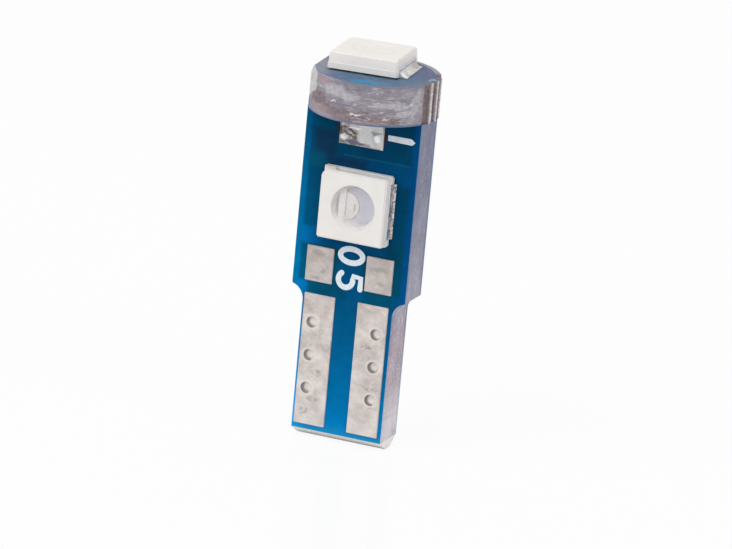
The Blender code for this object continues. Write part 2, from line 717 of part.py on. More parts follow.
def make_leds():
    surface = HALF_T + SEAM
    even, heavy = (SMALL_FILLET, SMALL_FILLET), (SMALL_FILLET, LARGE_FILLET)
    on_top = (TOP_LED_X, TOP_LED_Y, DISC_TOP_Z + SEAM)
    places = (
        ("front_led", (FACE_LED_X, -surface, FACE_LED_Z), (90, 0, 0), even),
        ("back_led", (-FACE_LED_X, surface, FACE_LED_Z), (90, 0, 180), even),
        ("top_led", on_top, (0, 0, TOP_LED_TURN_DEG), heavy),
    )
    for name, location, rotation, fillets in places:
        make_led(name, led_frame(name, location, rotation), fillets)


clear_scene()
PARTS = new_collection("wedge_base_led_bulb")
CUTTERS = new_collection("cutters")
make_main_board()
make_top_board()
make_contacts()
make_front_lands()
make_resistor()
make_board_joints()
make_leds()
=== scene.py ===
import math
from contextlib import contextmanager
from math import cos, radians, remainder, sin, tau

import bmesh
import bpy
from mathutils import Matrix, Vector, noise


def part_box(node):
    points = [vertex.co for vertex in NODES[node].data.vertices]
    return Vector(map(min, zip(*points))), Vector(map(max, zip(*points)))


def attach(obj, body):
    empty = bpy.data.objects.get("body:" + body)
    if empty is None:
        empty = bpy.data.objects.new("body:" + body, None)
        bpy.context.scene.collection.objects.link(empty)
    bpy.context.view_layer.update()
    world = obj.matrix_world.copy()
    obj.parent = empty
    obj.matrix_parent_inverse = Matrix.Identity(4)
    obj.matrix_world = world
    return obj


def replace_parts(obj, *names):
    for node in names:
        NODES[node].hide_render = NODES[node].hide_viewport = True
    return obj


# Looks, light and camera for the wedge base LED bulb.
# Metres, +Z up, the front face looking along -Y, the origin at the tip of the base.

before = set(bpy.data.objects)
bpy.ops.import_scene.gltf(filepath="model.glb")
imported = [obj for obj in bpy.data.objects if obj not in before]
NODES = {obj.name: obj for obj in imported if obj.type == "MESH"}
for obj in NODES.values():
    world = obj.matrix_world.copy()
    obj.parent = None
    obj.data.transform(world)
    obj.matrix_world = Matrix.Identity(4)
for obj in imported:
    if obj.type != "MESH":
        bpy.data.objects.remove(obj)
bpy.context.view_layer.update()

MM = 0.001

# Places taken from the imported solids
DISC_LOW, DISC_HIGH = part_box("top_board")
FACE_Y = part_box("main_board")[0].y

# The round board: the snapped stub and its bites at the right, the cut tab at the left, its wear
DISC_R = 3.09 * MM
STUB_RISE = 0.07 * MM
BITE_INSET = 0.01 * MM
BITE_R = 0.2 * MM
BITE_PITCH = 0.6 * MM
BITE_COUNT = 4
BITE_CENTRE = 2.0
TAB_ANGLE, TAB_BACK = 184.5, 150.0
TAB_DEPTH, TAB_RUN = 0.28 * MM, 1.7 * MM
WORN_ANGLE = -152.0
WORN_DEPTH, WORN_H = 0.16 * MM, 0.28 * MM
RUBBED_ANGLE, RUBBED_SLANT = -142.0, 27.0
RUBBED_DEPTH, RUBBED_H = 0.055 * MM, 1.18 * MM

# Each lamp's own frame: X along its leads, Y across, Z out of the board
LAMPS = {
    "front_led": ((0.1, -1.01, 11.88), (90, 0, 0)),
    "back_led": ((-0.1, 1.01, 11.88), (90, 0, 180)),
    "top_led": ((-0.4, 0.45, 18.25), (0, 0, 6)),
}
# The floor of a lamp's cup, in millimetres up that frame
CUP_FLOOR = 0.45
# Corners of a solid that are nearer than this are one
WELD = 0.0003 * MM
# Edges of a solid that turn by more degrees than this stay sharp
SHARP = 35


class Graph:
    """Short ways to add nodes to one material, or to the world."""

    def __init__(self, name, kind="materials"):
        self.owner = getattr(bpy.data, kind).new(name)
        self.owner.use_nodes = True
        self.tree = self.owner.node_tree
        self.shader = self.tree.nodes.get("Principled BSDF")
        self.colour = None

    def add(self, kind, inputs=None, **settings):
        made = self.tree.nodes.new("ShaderNode" + kind)
        for key, value in settings.items():
            setattr(made, key, value)
        for key, value in (inputs or {}).items():
            self.feed(made.inputs[key], value)
        return made

    def feed(self, socket, value):
        if isinstance(value, bpy.types.NodeSocket):
            self.tree.links.new(value, socket)
        elif value is not None:
            socket.default_value = (*value, 1.0) if socket.type == "RGBA" else value

    def math(self, operation, *values):
        return self.add("Math", dict(enumerate(values)), operation=operation).outputs[0]

    def times(self, *values):
        return self.math("MULTIPLY", *values)

    def plus(self, *values):
        return self.math("ADD", *values)

    def minus(self, *values):
        return self.math("SUBTRACT", *values)

    def scaled(self, value, factor, shift):
        """Value times factor, plus shift."""
        return self.math("MULTIPLY_ADD", value, factor, shift)

    def ramp(self, value, low, high, to_low=0.0, to_high=1.0, smooth=False):
        inputs = {0: value, 1: low, 2: high, 3: to_low, 4: to_high}
        kind = "SMOOTHSTEP" if smooth else "LINEAR"
        return self.add("MapRange", inputs, clamp=True, interpolation_type=kind).outputs[0]

    def mix(self, share, first, second, blend="MIX"):
        inputs = {0: share, 6: first, 7: second}
        return self.add("Mix", inputs, data_type="RGBA", blend_type=blend).outputs[2]

    def fade(self, value, low, high, first, second):
        """One colour at a low value, another at a high one, and their mixes between."""
        return self.mix(self.ramp(value, low, high), first, second)

    def over(self, share, tint, blend="MIX"):
        """Lay one more colour over the material's colour so far."""
        self.colour = self.mix(share, self.colour, tint, blend)

    def place(self, stretch=(1.0, 1.0, 1.0)):
        """Where the surface point is, in the piece's own frame, in stretched millimetres."""
        where = self.add("TexCoord").outputs["Object"]
        scale = tuple(s / MM for s in stretch)
        return self.add("VectorMath", {0: where, 1: scale}, operation="MULTIPLY").outputs[0]

    def axes(self):
        return self.add("SeparateXYZ", {0: self.place()}).outputs

    def seen(self, x, y):
        """X as it runs for someone who looks at this face of the board: mirrored on the back."""
        return self.times(x, self.times(self.math("SIGN", y), -1.0))

    def turn(self, x, y):
        """Degrees round the bulb's axis."""
        return self.times(self.math("ARCTAN2", y, x), math.degrees(1.0))

    def toward(self, u, v, degrees):
        """How far a point lies in one direction, at an angle from the first axis."""
        swing = radians(degrees)
        return self.scaled(v, sin(swing), self.times(u, cos(swing)))

    def noise(self, scale, detail=3.0, rough=0.55, stretch=(1.0, 1.0, 1.0), warp=0.0):
        inputs = {"Vector": self.place(stretch), "Scale": scale, "Detail": detail}
        inputs |= {"Roughness": rough, "Distortion": warp}
        return self.add("TexNoise", inputs).outputs[0]

    def rect(self, x, z, left, foot, right, top, soft):
        """1 inside a rectangle of the face and 0 outside, with a narrow soft edge."""
        gaps = []
        for value, start, end in ((x, left, right), (z, foot, top)):
            off = self.math("ABSOLUTE", self.minus(value, (start + end) / 2))
            gaps.append(self.minus(off, (end - start) / 2))
        return self.ramp(self.math("MAXIMUM", *gaps), soft, -soft)

    def radius(self, x, y):
        """Distance from the middle."""
        squares = [self.times(value, value) for value in (x, y)]
        return self.math("SQRT", self.plus(*squares))

    def spot(self, u, v, across, up, wide, tall):
        """1 in the middle of a soft oval, falling to 0 at its edge."""
        parts = []
        for value, middle, radius in ((u, across, wide), (v, up, tall)):
            off = self.math("DIVIDE", self.minus(value, middle), radius)
            parts.append(self.times(off, off))
        return self.ramp(self.plus(*parts), 1.0, 0.0)

    def spots(self, u, v, places, level):
        """All of a list's soft ovals together, up to a level."""
        shares = [self.spot(u, v, *place) for place in places]
        return self.ramp(self.any_of(shares), 0.0, 0.7, 0.0, level)

    def sway(self, value, scale, reach):
        """A coordinate pushed to and fro by noise, so that edges drawn on it wander."""
        push = self.minus(self.noise(scale, 4.0, 0.65, warp=0.4), 0.5)
        return self.scaled(push, 2 * reach, value)

    def lines(self, scale, stretch, width, warp=0.3):
        """Thin wandering lines, as scratches are."""
        field = self.noise(scale, 2.0, 0.5, stretch, warp)
        off = self.math("ABSOLUTE", self.minus(field, 0.5))
        return self.ramp(off, width, 0.0)

    def any_of(self, shares):
        found = shares[0]
        for share in shares[1:]:
            found = self.math("MAXIMUM", found, share)
        return found

    def bump(self, height, distance, strength=1.0):
        inputs = {"Height": height, "Distance": distance * MM, "Strength": strength}
        self.feed(self.shader.inputs["Normal"], self.add("Bump", inputs).outputs[0])

    def blend(self, share, other):
        """Show another shader, by a share, in place of the material's own."""
        both = self.add("MixShader", {0: share, 1: self.shader.outputs[0], 2: other})
        self.feed(self.tree.nodes["Material Output"].inputs["Surface"], both.outputs[0])

    def finish(self, **sockets):
        sockets["Base_Color"] = self.colour
        for name, value in sockets.items():
            self.feed(self.shader.inputs[name.replace("_", " ")], value)
        return self.owner


# Materials

# Where the mask lies on bare laminate, as (low x, low z, high x, high z) in millimetres
BARE_FIELDS = [
    (-2.6, 10.42, -1.3, 14.4),
    (1.75, 8.0, 2.6, 13.15),
    (-2.6, 7.75, -0.6, 9.55),
    (0.55, 7.75, 2.6, 9.62),
    (-2.1, 7.2, -0.2, 7.8),
    (0.75, 7.2, 2.2, 7.8),
    (-1.25, 14.2, 2.6, 16.3),
    (-2.6, 14.2, -1.2, 16.3),
]
# Darker patches: thicker mask pooled beside the copper at the left, and painted shadow above the
# front lamp; and a painted highlight along one track's edge
POOLED_MASK_AND_SHADE = [(-2.4, 13.95, -1.25, 15.2), (-1.9, 13.6, 0.3, 14.1)]
TEAL_POOL = (-2.2, 13.75, 0.7, 0.6)
TRACK_HIGHLIGHT = (-0.86, 14.14, 2.56, 14.2)
# Dark patches on the mask either side of the solder between the boards: painted shadow beside the
# joint, with burnt flux
FLUX_AND_SHADE_BY_JOINT = [(1.17, 15.33, 0.16, 0.42), (-1.2, 15.4, 0.14, 0.4)]
# Heights of the snapped underside, of where the mask turns pale, and of the shoulders
SNAP_Z = 0.46
TIP_FADE = (0.95, 0.5)
SHOULDER_FADE = (6.9, 5.9)


def laminate_look(g, along, across):
    """Milled glass-fibre laminate: layers across its thickness, cut streaks along its edge."""
    layers = g.noise(1.0, 4.0, 0.6, across)
    streaks = g.noise(1.0, 5.0, 0.65, along)
    speck = g.noise(5.0, 5.0, 0.75)
    share = g.plus(g.times(layers, 0.45), g.times(streaks, 0.55))
    share = g.plus(share, g.times(g.minus(speck, 0.5), 0.5))
    return g.ramp(share, 0.34, 0.66), g.plus(streaks, layers), speck


def paint_mask(g, x, z):
    """Blue mask, paler towards the tip and the left edge, partly as painted light; gives back
    where it has no copper.
    """
    low = g.math("POWER", g.ramp(z, 14.0, 1.0), 3.0)
    left = g.times(g.ramp(x, -1.5, -2.65), g.ramp(z, 15.2, 12.6, 0.25, 1.0))
    copper = g.times(g.scaled(low, 0.14, 0.062), g.scaled(left, 1.4, 1.0))
    fall = g.math("POWER", g.ramp(z, 14.0, 7.5), 2.0)
    bare = g.times(g.scaled(fall, 0.036, 0.048), g.scaled(left, 0.6, 1.0))
    bare = g.times(bare, g.ramp(z, 9.6, 10.4, 0.9, 1.08))
    tone = g.ramp(g.noise(1.6, 5.0, 0.6), 0.3, 0.7, 0.88, 1.12)
    bluer = g.plus(g.ramp(z, 6.5, 8.0, 2.5, 2.75), g.ramp(x, 2.5, 2.7, 0.0, 0.5))
    bluer = g.plus(bluer, g.ramp(x, -2.55, -2.75, 0.0, -0.45))
    plainer = g.ramp(z, 9.8, 10.6, 2.0, 2.3)
    shades = []
    for level, red, blue in ((copper, 0.0, bluer), (bare, 0.0, plainer), (0.031, 0.15, 2.5)):
        level = g.times(level, tone)
        parts = {0: g.times(level, red), 1: level, 2: g.times(level, blue)}
        shades.append(g.add("CombineColor", parts).outputs[0])
    side, rise = g.sway(x, 2.0, 0.06), g.sway(z, 2.3, 0.06)
    share = g.any_of([g.rect(side, rise, *field, 0.09) for field in BARE_FIELDS])
    g.colour = g.mix(share, shades[0], shades[1])
    # Darker patches: thicker mask at the left, painted shadow above the front lamp
    pooled_and_shaded = g.any_of([g.rect(side, rise, *field, 0.2) for field in POOLED_MASK_AND_SHADE])
    g.over(g.times(pooled_and_shaded, 0.9), shades[2])
    teal = g.ramp(g.spot(side, rise, *TEAL_POOL), 0.0, 1.0, 0.0, 0.6, smooth=True)
    g.over(teal, (0.002, 0.083, 0.15))
    # Painted highlight along one track's edge
    g.over(g.times(g.rect(x, z, *TRACK_HIGHLIGHT, 0.04), 0.3), (0.01, 0.17, 0.24))
    # Painted shadow beside the joint, with burnt flux
    flux_and_shade = g.spots(g.sway(x, 4.0, 0.06), g.sway(z, 4.3, 0.08), FLUX_AND_SHADE_BY_JOINT, 0.8)
    g.over(flux_and_shade, (0.035, 0.028, 0.025))
    return share


def solder_mask_material():
    """Blue mask on both faces, milled laminate on the edges, a pale snapped end."""
    g = Graph("solder_mask")
    x, y, z = g.axes()
    facing = g.add("SeparateXYZ", {0: g.add("NewGeometry").outputs["True Normal"]}).outputs[1]
    on_face = g.math("GREATER_THAN", g.math("ABSOLUTE", facing), 0.95)
    bare = paint_mask(g, g.seen(x, y), z)
    # Paler blue towards the tip: partly painted light
    g.over(g.ramp(z, *TIP_FADE, 0.0, 0.6), (0.02, 0.3, 0.56))
    mask = g.colour
    share, relief, speck = laminate_look(g, (0.9, 0.9, 0.45), (0.2, 9.0, 0.2))
    # The milled edge runs from dark near the round board to pale at the tip: partly painted light
    # and shade
    worn = g.math("POWER", g.ramp(z, 15.5, 0.6), 1.6)
    dark = g.mix(worn, (0.18, 0.185, 0.265), (0.54, 0.5, 0.54))
    pale = g.mix(worn, (0.3, 0.31, 0.41), (0.88, 0.83, 0.87))
    g.colour = g.mix(share, dark, pale)
    pink = g.times(g.ramp(z, *SHOULDER_FADE), g.ramp(z, 1.3, 3.4))
    g.over(g.times(pink, 0.9), (0.86, 0.77, 0.79), "MULTIPLY")
    stem = g.ramp(z, 9.0, 6.5, 0.25, 1.0)
    dots = g.ramp(g.noise(8.0, 4.0, 0.7), 0.6, 0.68, 0.0, 0.75)
    scratched = g.math("MAXIMUM", dots, g.lines(2.2, (1.0, 1.0, 0.5), 0.014))
    g.over(g.times(scratched, g.times(stem, 0.7)), (0.88, 0.86, 0.88))
    dull = g.ramp(g.noise(4.5, 4.0, 0.7, (1.0, 1.0, 0.6), 0.8), 0.58, 0.66, 0.0, 0.5)
    g.over(g.times(dull, stem), (0.25, 0.22, 0.25))
    # The mask on the edge's corners pales towards the tip too: partly painted light
    corner = g.ramp(g.math("ABSOLUTE", g.sway(y, 2.0, 0.05)), 0.8, 0.97, 0.0, 0.75)
    g.over(corner, g.fade(z, 6.0, 1.5, (0.11, 0.24, 0.46), (0.42, 0.56, 0.7)))
    snapped = g.times(g.math("LESS_THAN", z, SNAP_Z), 0.9)
    broken = g.fade(speck, 0.35, 0.65, (0.88, 0.86, 0.82), (0.98, 0.97, 0.95))
    g.over(snapped, broken)
    g.over(on_face, mask)
    rough = g.ramp(on_face, 0.0, 1.0, 0.8, 0.34)
    smooth = g.plus(g.times(bare, -0.4), g.times(g.noise(14.0), 0.1))
    coarse = g.plus(g.times(relief, 0.7), g.times(speck, 0.5))
    height = g.plus(g.times(on_face, smooth), g.times(g.minus(1.0, on_face), coarse))
    g.bump(height, 0.02)
    return g.finish(Roughness=rough, Specular_IOR_Level=0.02)


# Marks on the round board's rim, as (degrees round it, millimetres up it, reach each way)
PALE_CLOUDS = [
    (-105.0, 1.42, 15.0, 0.4),
    (-92.0, 1.25, 9.0, 0.25),
    (-50.0, 1.05, 22.0, 0.2),
    (-40.0, 0.65, 16.0, 0.2),
    (-27.0, 1.2, 9.0, 0.8),
]
WHITE_SCARS = [
    (-126.0, 1.45, 3.0, 0.04),
    (-107.0, 0.9, 4.0, 0.05),
    (-83.0, 0.47, 6.0, 0.05),
    (-38.0, 0.95, 2.0, 0.04),
    (-33.0, 1.08, 2.0, 0.07),
    (-57.0, 0.38, 5.0, 0.03),
]
BROWN_DIRT = [
    (-127.0, 0.85, 14.0, 0.4),
    (-112.0, 0.55, 12.0, 0.25),
    (-100.0, 0.4, 22.0, 0.3),
    (-78.0, 0.2, 34.0, 0.38),
    (-58.0, 0.24, 24.0, 0.32),
    (-78.0, 0.62, 9.0, 0.14),
]
PINK_DIRT = [
    (-122.0, 0.35, 16.0, 0.3),
    (-70.0, 0.14, 14.0, 0.1),
    (-122.0, 1.75, 12.0, 0.2),
]
# Angle past which the rim shows the snapped stub's grooves and ridges
STUB_START = BITE_CENTRE - 30.0
# Patches of the flat faces, as (degrees, millimetres out, reach each way)
BLUE_PATCH = (-74.0, 2.6, 26.0, 0.42)
TEAL_PATCH = (0.0, 2.86, 8.0, 0.2)
# Thin arcs beside the far rim, as millimetres out, colour
ARCS = [(2.98, (0.6, 0.61, 0.6)), (2.84, (0.62, 0.63, 0.62)), (2.91, (0.13, 0.14, 0.16))]


def milled_laminate_material():
    """The round board's routed rim: scratched, dirty low down, pale where it is rubbed flat."""
    g = Graph("milled_laminate")
    x, y, z = g.axes()
    height = (DISC_HIGH.z - DISC_LOW.z) / MM
    up = g.minus(z, DISC_LOW.z / MM)
    turn = g.turn(x, y)
    out = g.radius(x, y)
    share, relief, speck = laminate_look(g, (0.9, 0.9, 5.5), (0.4, 0.4, 3.2))
    blotch = g.noise(0.75, 4.0, 0.6)
    share = g.plus(share, g.ramp(blotch, 0.3, 0.7, -0.3, 0.3))
    g.colour = g.fade(share, 0.0, 1.0, (0.25, 0.225, 0.265), (0.44, 0.415, 0.47))
    middle = g.times(g.ramp(turn, -105.0, -88.0), g.ramp(turn, -46.0, -62.0))
    g.over(g.times(middle, 0.8), (0.8, 0.79, 0.81), "MULTIPLY")
    wide, tall = g.sway(turn, 1.2, 16.0), g.sway(up, 1.7, 0.35)
    brown = g.fade(speck, 0.35, 0.65, (0.17, 0.12, 0.13), (0.3, 0.25, 0.26))
    narrow, flat = g.sway(turn, 3.4, 7.0), g.sway(up, 4.2, 0.16)
    g.over(g.spots(wide, flat, BROWN_DIRT, 0.9), brown)
    g.over(g.spots(wide, flat, PINK_DIRT, 0.7), (0.4, 0.29, 0.32))
    pale = g.fade(speck, 0.35, 0.65, (0.42, 0.4, 0.43), (0.62, 0.6, 0.63))
    g.over(g.spots(wide, tall, PALE_CLOUDS, 0.75), pale)
    scars = g.spots(narrow, flat, WHITE_SCARS, 0.9)
    dents = g.lines(1.7, (0.8, 0.8, 6.0), 0.022, 0.5)
    g.over(g.times(dents, 0.55), (0.2, 0.17, 0.2))
    brushed = g.times(g.lines(1.4, (0.7, 0.7, 7.0), 0.03), g.ramp(turn, -104.0, -84.0))
    light = g.math("MAXIMUM", scars, g.times(brushed, g.ramp(blotch, 0.36, 0.5, 0.15, 0.75)))
    dots = g.times(g.ramp(speck, 0.62, 0.7), g.ramp(turn, -75.0, -45.0, 0.3, 1.0))
    light = g.math("MAXIMUM", light, g.times(dots, 0.8))
    g.over(light, (0.74, 0.72, 0.75))
    top = g.times(g.ramp(tall, height - 0.3, height - 0.05), g.ramp(turn, -118.0, -95.0))
    g.over(g.times(top, 0.65), (0.2, 0.21, 0.28))
    foot = g.times(g.ramp(up, 0.16, 0.06), g.ramp(turn, -110.0, -50.0, 0.35, 0.9))
    g.over(foot, (0.12, 0.18, 0.31))
    rubbed = g.fade(speck, 0.35, 0.62, (0.47, 0.46, 0.45), (0.68, 0.67, 0.66))
    g.over(rubbed_share(g, x, y, turn, up, height), rubbed)
    reach = DISC_R / MM
    stub = g.math("GREATER_THAN", turn, STUB_START)
    # The bites' hollows darken with depth: brown dirt, with painted shade in the hollows
    groove = g.times(g.ramp(out, reach - 0.01, reach - 0.09), stub)
    brown = g.fade(speck, 0.35, 0.65, (0.18, 0.135, 0.13), (0.35, 0.28, 0.27))
    g.over(groove, brown)
    ridge = g.times(g.ramp(out, reach, reach + 0.045, 0.0, 0.9), stub)
    torn = g.fade(speck, 0.4, 0.6, (0.6, 0.52, 0.51), (0.88, 0.83, 0.83))
    g.over(ridge, torn)
    g.bump(g.plus(g.plus(relief, g.times(light, 0.6)), speck), 0.03, 0.9)
    return g.finish(Roughness=0.72, Specular_IOR_Level=0.12)


def rubbed_share(g, x, y, turn, up, height):
    """1 on the rubbed flat and the worn corner above it."""
    along = g.times(g.minus(turn, RUBBED_ANGLE), DISC_R / MM * radians(1.0))
    slant = math.tan(radians(RUBBED_SLANT))
    foot = g.scaled(along, slant, height - RUBBED_H / MM)
    above = g.ramp(g.minus(g.sway(up, 4.0, 0.06), foot), 0.0, 0.1)
    half = math.degrees(math.acos(1 - RUBBED_DEPTH / DISC_R))
    off = g.math("ABSOLUTE", g.minus(g.sway(turn, 3.0, 2.0), RUBBED_ANGLE))
    flat = g.times(g.ramp(off, half + 1.0, half - 1.5), above)
    edge = (DISC_R - WORN_DEPTH) / MM
    lean = g.scaled(g.minus(height, up), WORN_DEPTH / WORN_H, edge)
    worn = g.ramp(g.minus(g.toward(x, y, WORN_ANGLE), lean), -0.035, -0.01, 0.0, 0.8)
    left = g.ramp(turn, WORN_ANGLE + 24.0, WORN_ANGLE + 18.0)
    return g.math("MAXIMUM", flat, g.times(worn, left))


def disc_mask_material():
    """Thin dull mask on the round board's flat faces: greyer at the left, worn round its rim."""
    g = Graph("disc_mask")
    x, y, _ = g.axes()
    out = g.radius(x, y)
    turn = g.turn(x, y)
    tone = g.noise(1.2, 4.0, 0.6)
    g.colour = g.fade(tone, 0.35, 0.65, (0.065, 0.13, 0.24), (0.095, 0.17, 0.28))
    near, wide = g.sway(out, 1.6, 0.3), g.sway(turn, 1.3, 20.0)
    g.over(g.spots(wide, near, [BLUE_PATCH], 0.85), (0.045, 0.24, 0.42))
    # Darker to the right beside the top lamp: painted shadow of the lamp and its solder
    right = g.times(g.ramp(wide, -32.0, 5.0), g.ramp(near, 1.9, 2.5, 0.4, 0.8))
    g.over(right, (0.065, 0.08, 0.18))
    grey = g.ramp(g.sway(x, 1.5, 0.5), -1.1, -2.1, 0.0, 0.85)
    g.over(grey, (0.24, 0.255, 0.315))
    rim = g.times(g.ramp(near, 2.82, 2.95, 0.0, 0.75), g.ramp(tone, 0.35, 0.5, 0.5, 1.0))
    g.over(rim, (0.16, 0.14, 0.29))
    g.over(g.spots(turn, out, [TEAL_PATCH], 0.8), (0.2, 0.46, 0.54))
    back = g.times(g.ramp(turn, 22.0, 34.0), g.ramp(turn, 100.0, 80.0))
    for middle, shade in ARCS:
        off = g.math("ABSOLUTE", g.minus(out, middle))
        line = g.times(back, g.ramp(off, 0.045, 0.02, 0.0, 0.85))
        g.over(line, shade)
    # Painted shadow along the top lamp's front foot
    g.over(foot_shadow_share(g, x, y), (0.035, 0.045, 0.04))
    g.bump(g.noise(9.0, 4.0), 0.01)
    return g.finish(Roughness=0.45, Specular_IOR_Level=0.16)


# Corners of the painted shadow band in the top lamp's frame
FOOT_SHADOW_BAND = (-1.78, -1.84, 1.74, -1.6)


def foot_shadow_share(g, x, y):
    """A dotted dark band along the top lamp's front foot: painted shadow under its edge."""
    (lamp_x, lamp_y, _), (_, _, degrees) = LAMPS["top_led"]
    from_x, from_y = g.minus(x, lamp_x), g.minus(y, lamp_y)
    along, across = g.toward(from_x, from_y, degrees), g.toward(from_x, from_y, degrees + 90.0)
    band = g.rect(along, g.sway(across, 5.0, 0.06), *FOOT_SHADOW_BAND, 0.05)
    return g.times(band, g.ramp(g.noise(7.0, 3.0, 0.6), 0.42, 0.52, 0.25, 0.95))


# The contacts' vias, in millimetres
VIA_X, VIA_SHIFT = 1.65, -0.04
VIA_FIRST_Z, VIA_PITCH, VIA_COUNT = 2.51, 1.63, 3

# Smudges on the two bare lands, as (x, z, reach each way) in millimetres
LAND_SMUDGES = [
    (-1.62, 9.18, 0.42, 0.16),
    (-1.36, 8.4, 0.11, 0.2),
    (-1.75, 7.98, 0.25, 0.06),
    (1.45, 8.93, 0.6, 0.13),
    (1.62, 8.25, 0.3, 0.08),
]
# Grime on the contacts
CONTACT_GRIME = [
    (-1.78, 1.35, 0.32, 0.28),
    (-1.35, 2.0, 0.4, 0.16),
    (-1.1, 3.35, 0.2, 0.22),
    (1.62, 3.05, 0.45, 0.12),
    (1.75, 2.15, 0.3, 0.12),
    (1.15, 5.1, 0.35, 0.08),
]


def tinned_material(name, dark, pale):
    """Dull hot-tinned copper, cloudy and gently uneven, with painted shade and light in its
    dished vias.
    """
    g = Graph(name)
    x, y, z = g.axes()
    cloud, patch = g.noise(0.95, 3.0, 0.5, warp=0.7), g.noise(2.6, 4.0, 0.55, warp=1.3)
    grain = g.noise(12.0, 4.0, 0.6)
    share = g.scaled(patch, 0.25, g.times(grain, 0.07))
    share = g.scaled(cloud, 0.75, share)
    g.colour = g.fade(share, 0.43, 0.65, dark, pale)
    cool = g.ramp(g.noise(1.3, 3.0, 0.5, warp=0.9), 0.5, 0.62, 0.0, 0.35)
    g.over(cool, (0.56, 0.52, 0.54))
    cream = g.ramp(g.noise(3.3, 3.0, 0.5, warp=1.2), 0.6, 0.68, 0.0, 0.6)
    g.over(cream, (0.74, 0.69, 0.62))
    side, rise = g.sway(g.seen(x, y), 3.0, 0.25), g.sway(z, 3.3, 0.22)
    g.over(g.spots(side, rise, LAND_SMUDGES, 0.55), (0.34, 0.31, 0.31))
    grime = g.spots(side, rise, CONTACT_GRIME, 1.0)
    g.over(g.times(grime, g.ramp(patch, 0.42, 0.6, 0.1, 0.75)), (0.3, 0.26, 0.24))
    specks = g.ramp(g.noise(9.0, 3.0, 0.7), 0.68, 0.73, 0.0, 0.55)
    g.over(specks, (0.2, 0.17, 0.16))
    dull = g.times(g.ramp(z, 5.0, 6.2), g.ramp(z, 8.7, 9.15, 0.55, 1.0))
    g.over(dull, (0.9, 0.88, 0.88), "MULTIPLY")
    # Paler towards the tip: partly painted light
    g.over(g.ramp(z, 4.5, 1.0, 0.0, 0.3), (0.79, 0.73, 0.69))
    via_shade_and_light(g, x, y, z)
    rough = g.ramp(patch, 0.3, 0.7, 0.42, 0.6)
    dents = g.plus(g.noise(1.5, 2.0, 0.45, warp=0.6), g.times(patch, 0.25))
    g.bump(g.plus(dents, g.times(grain, 0.05)), 0.13)
    return g.finish(Roughness=rough, Metallic=0.25, Specular_IOR_Level=0.3)


def via_shade_and_light(g, x, y, z):
    """Painted shade and light in each via: a dark crescent on its left and lower wall, a bright
    floor against the dish's own shade, and a pale ring about it.
    """
    middle = g.scaled(g.math("SIGN", x), VIA_X, VIA_SHIFT)
    across = g.seen(g.minus(x, middle), y)
    above = g.minus(z, VIA_FIRST_Z - VIA_PITCH / 2)
    up = g.minus(g.math("FLOORED_MODULO", above, VIA_PITCH), VIA_PITCH / 2)
    under = g.math("LESS_THAN", above, VIA_COUNT * VIA_PITCH)
    contact = g.times(under, g.math("GREATER_THAN", above, 0.0))
    out = g.radius(across, up)
    lean = g.scaled(up, -0.45, g.times(across, -0.9))
    lean = g.math("DIVIDE", lean, g.math("MAXIMUM", out, 0.05))
    ring = g.times(g.ramp(out, 0.3, 0.44, 0.7, 0.0), g.ramp(out, 0.26, 0.29))
    g.over(g.times(ring, contact), (0.8, 0.75, 0.72))
    # Painted light on each via's floor, against the dish's own shade
    floor = g.ramp(out, 0.24, 0.18, 0.0, 0.75)
    g.over(g.times(floor, contact), (0.9, 0.85, 0.82))
    # Painted shade on the wall away from the light
    wall = g.times(g.ramp(out, 0.3, 0.275), g.ramp(out, 0.13, 0.22))
    dark = g.times(wall, g.ramp(g.sway(lean, 3.0, 0.6), -0.2, 0.4, 0.0, 0.75))
    g.over(g.times(dark, contact), (0.17, 0.145, 0.135))


def solder_material():
    g = Graph("bright_solder")
    wave = g.noise(2.4, 4.0, 0.6, warp=0.4)
    grain = g.noise(16.0, 3.0, 0.6)
    g.colour = g.fade(wave, 0.35, 0.65, (0.5, 0.48, 0.46), (0.8, 0.79, 0.78))
    g.bump(g.plus(wave, g.times(grain, 0.1)), 0.05, 0.8)
    return g.finish(Roughness=g.ramp(wave, 0.3, 0.7, 0.16, 0.34), Metallic=1.0)


def lamp_solder_material():
    """Solder at the face lamps' feet: dull and lumpy, mottled dark, with bright spots that are
    painted highlights.
    """
    g = Graph("lamp_solder")
    lumps = g.noise(3.4, 5.0, 0.7, warp=1.0)
    # Pale spots: painted highlights; dark: partly painted shade
    g.colour = g.fade(lumps, 0.4, 0.58, (0.21, 0.17, 0.165), (0.84, 0.8, 0.79))
    g.bump(lumps, 0.1)
    return g.finish(Roughness=g.ramp(lumps, 0.35, 0.65, 0.55, 0.25), Metallic=0.6)


# A painted highlight on the top lamp's solder, as (y, z, reach each way) in its frame
FOOT_GLINT = (-1.1, 0.1, 0.28, 0.14)


def smooth_solder_material():
    """Solder at the top lamp's feet: one smooth slope, browner along its foot, with a painted
    highlight.
    """
    g = Graph("smooth_solder")
    _, y, z = g.axes()
    wave = g.noise(1.6, 4.0, 0.6, warp=0.6)
    g.colour = g.fade(wave, 0.36, 0.62, (0.48, 0.46, 0.44), (0.76, 0.74, 0.71))
    streaks = g.ramp(g.noise(2.2, 4.0, 0.7, (4.0, 0.7, 0.7), 0.6), 0.54, 0.62, 0.0, 0.7)
    g.over(g.times(streaks, g.ramp(y, 0.3, -1.0, 0.25, 1.0)), (0.2, 0.19, 0.19))
    # Painted highlight near the front end of the slope
    g.over(g.spots(y, z, [FOOT_GLINT], 0.95), (0.93, 0.93, 0.95))
    g.bump(wave, 0.08)
    return g.finish(Roughness=g.ramp(wave, 0.35, 0.65, 0.5, 0.34), Metallic=0.45)


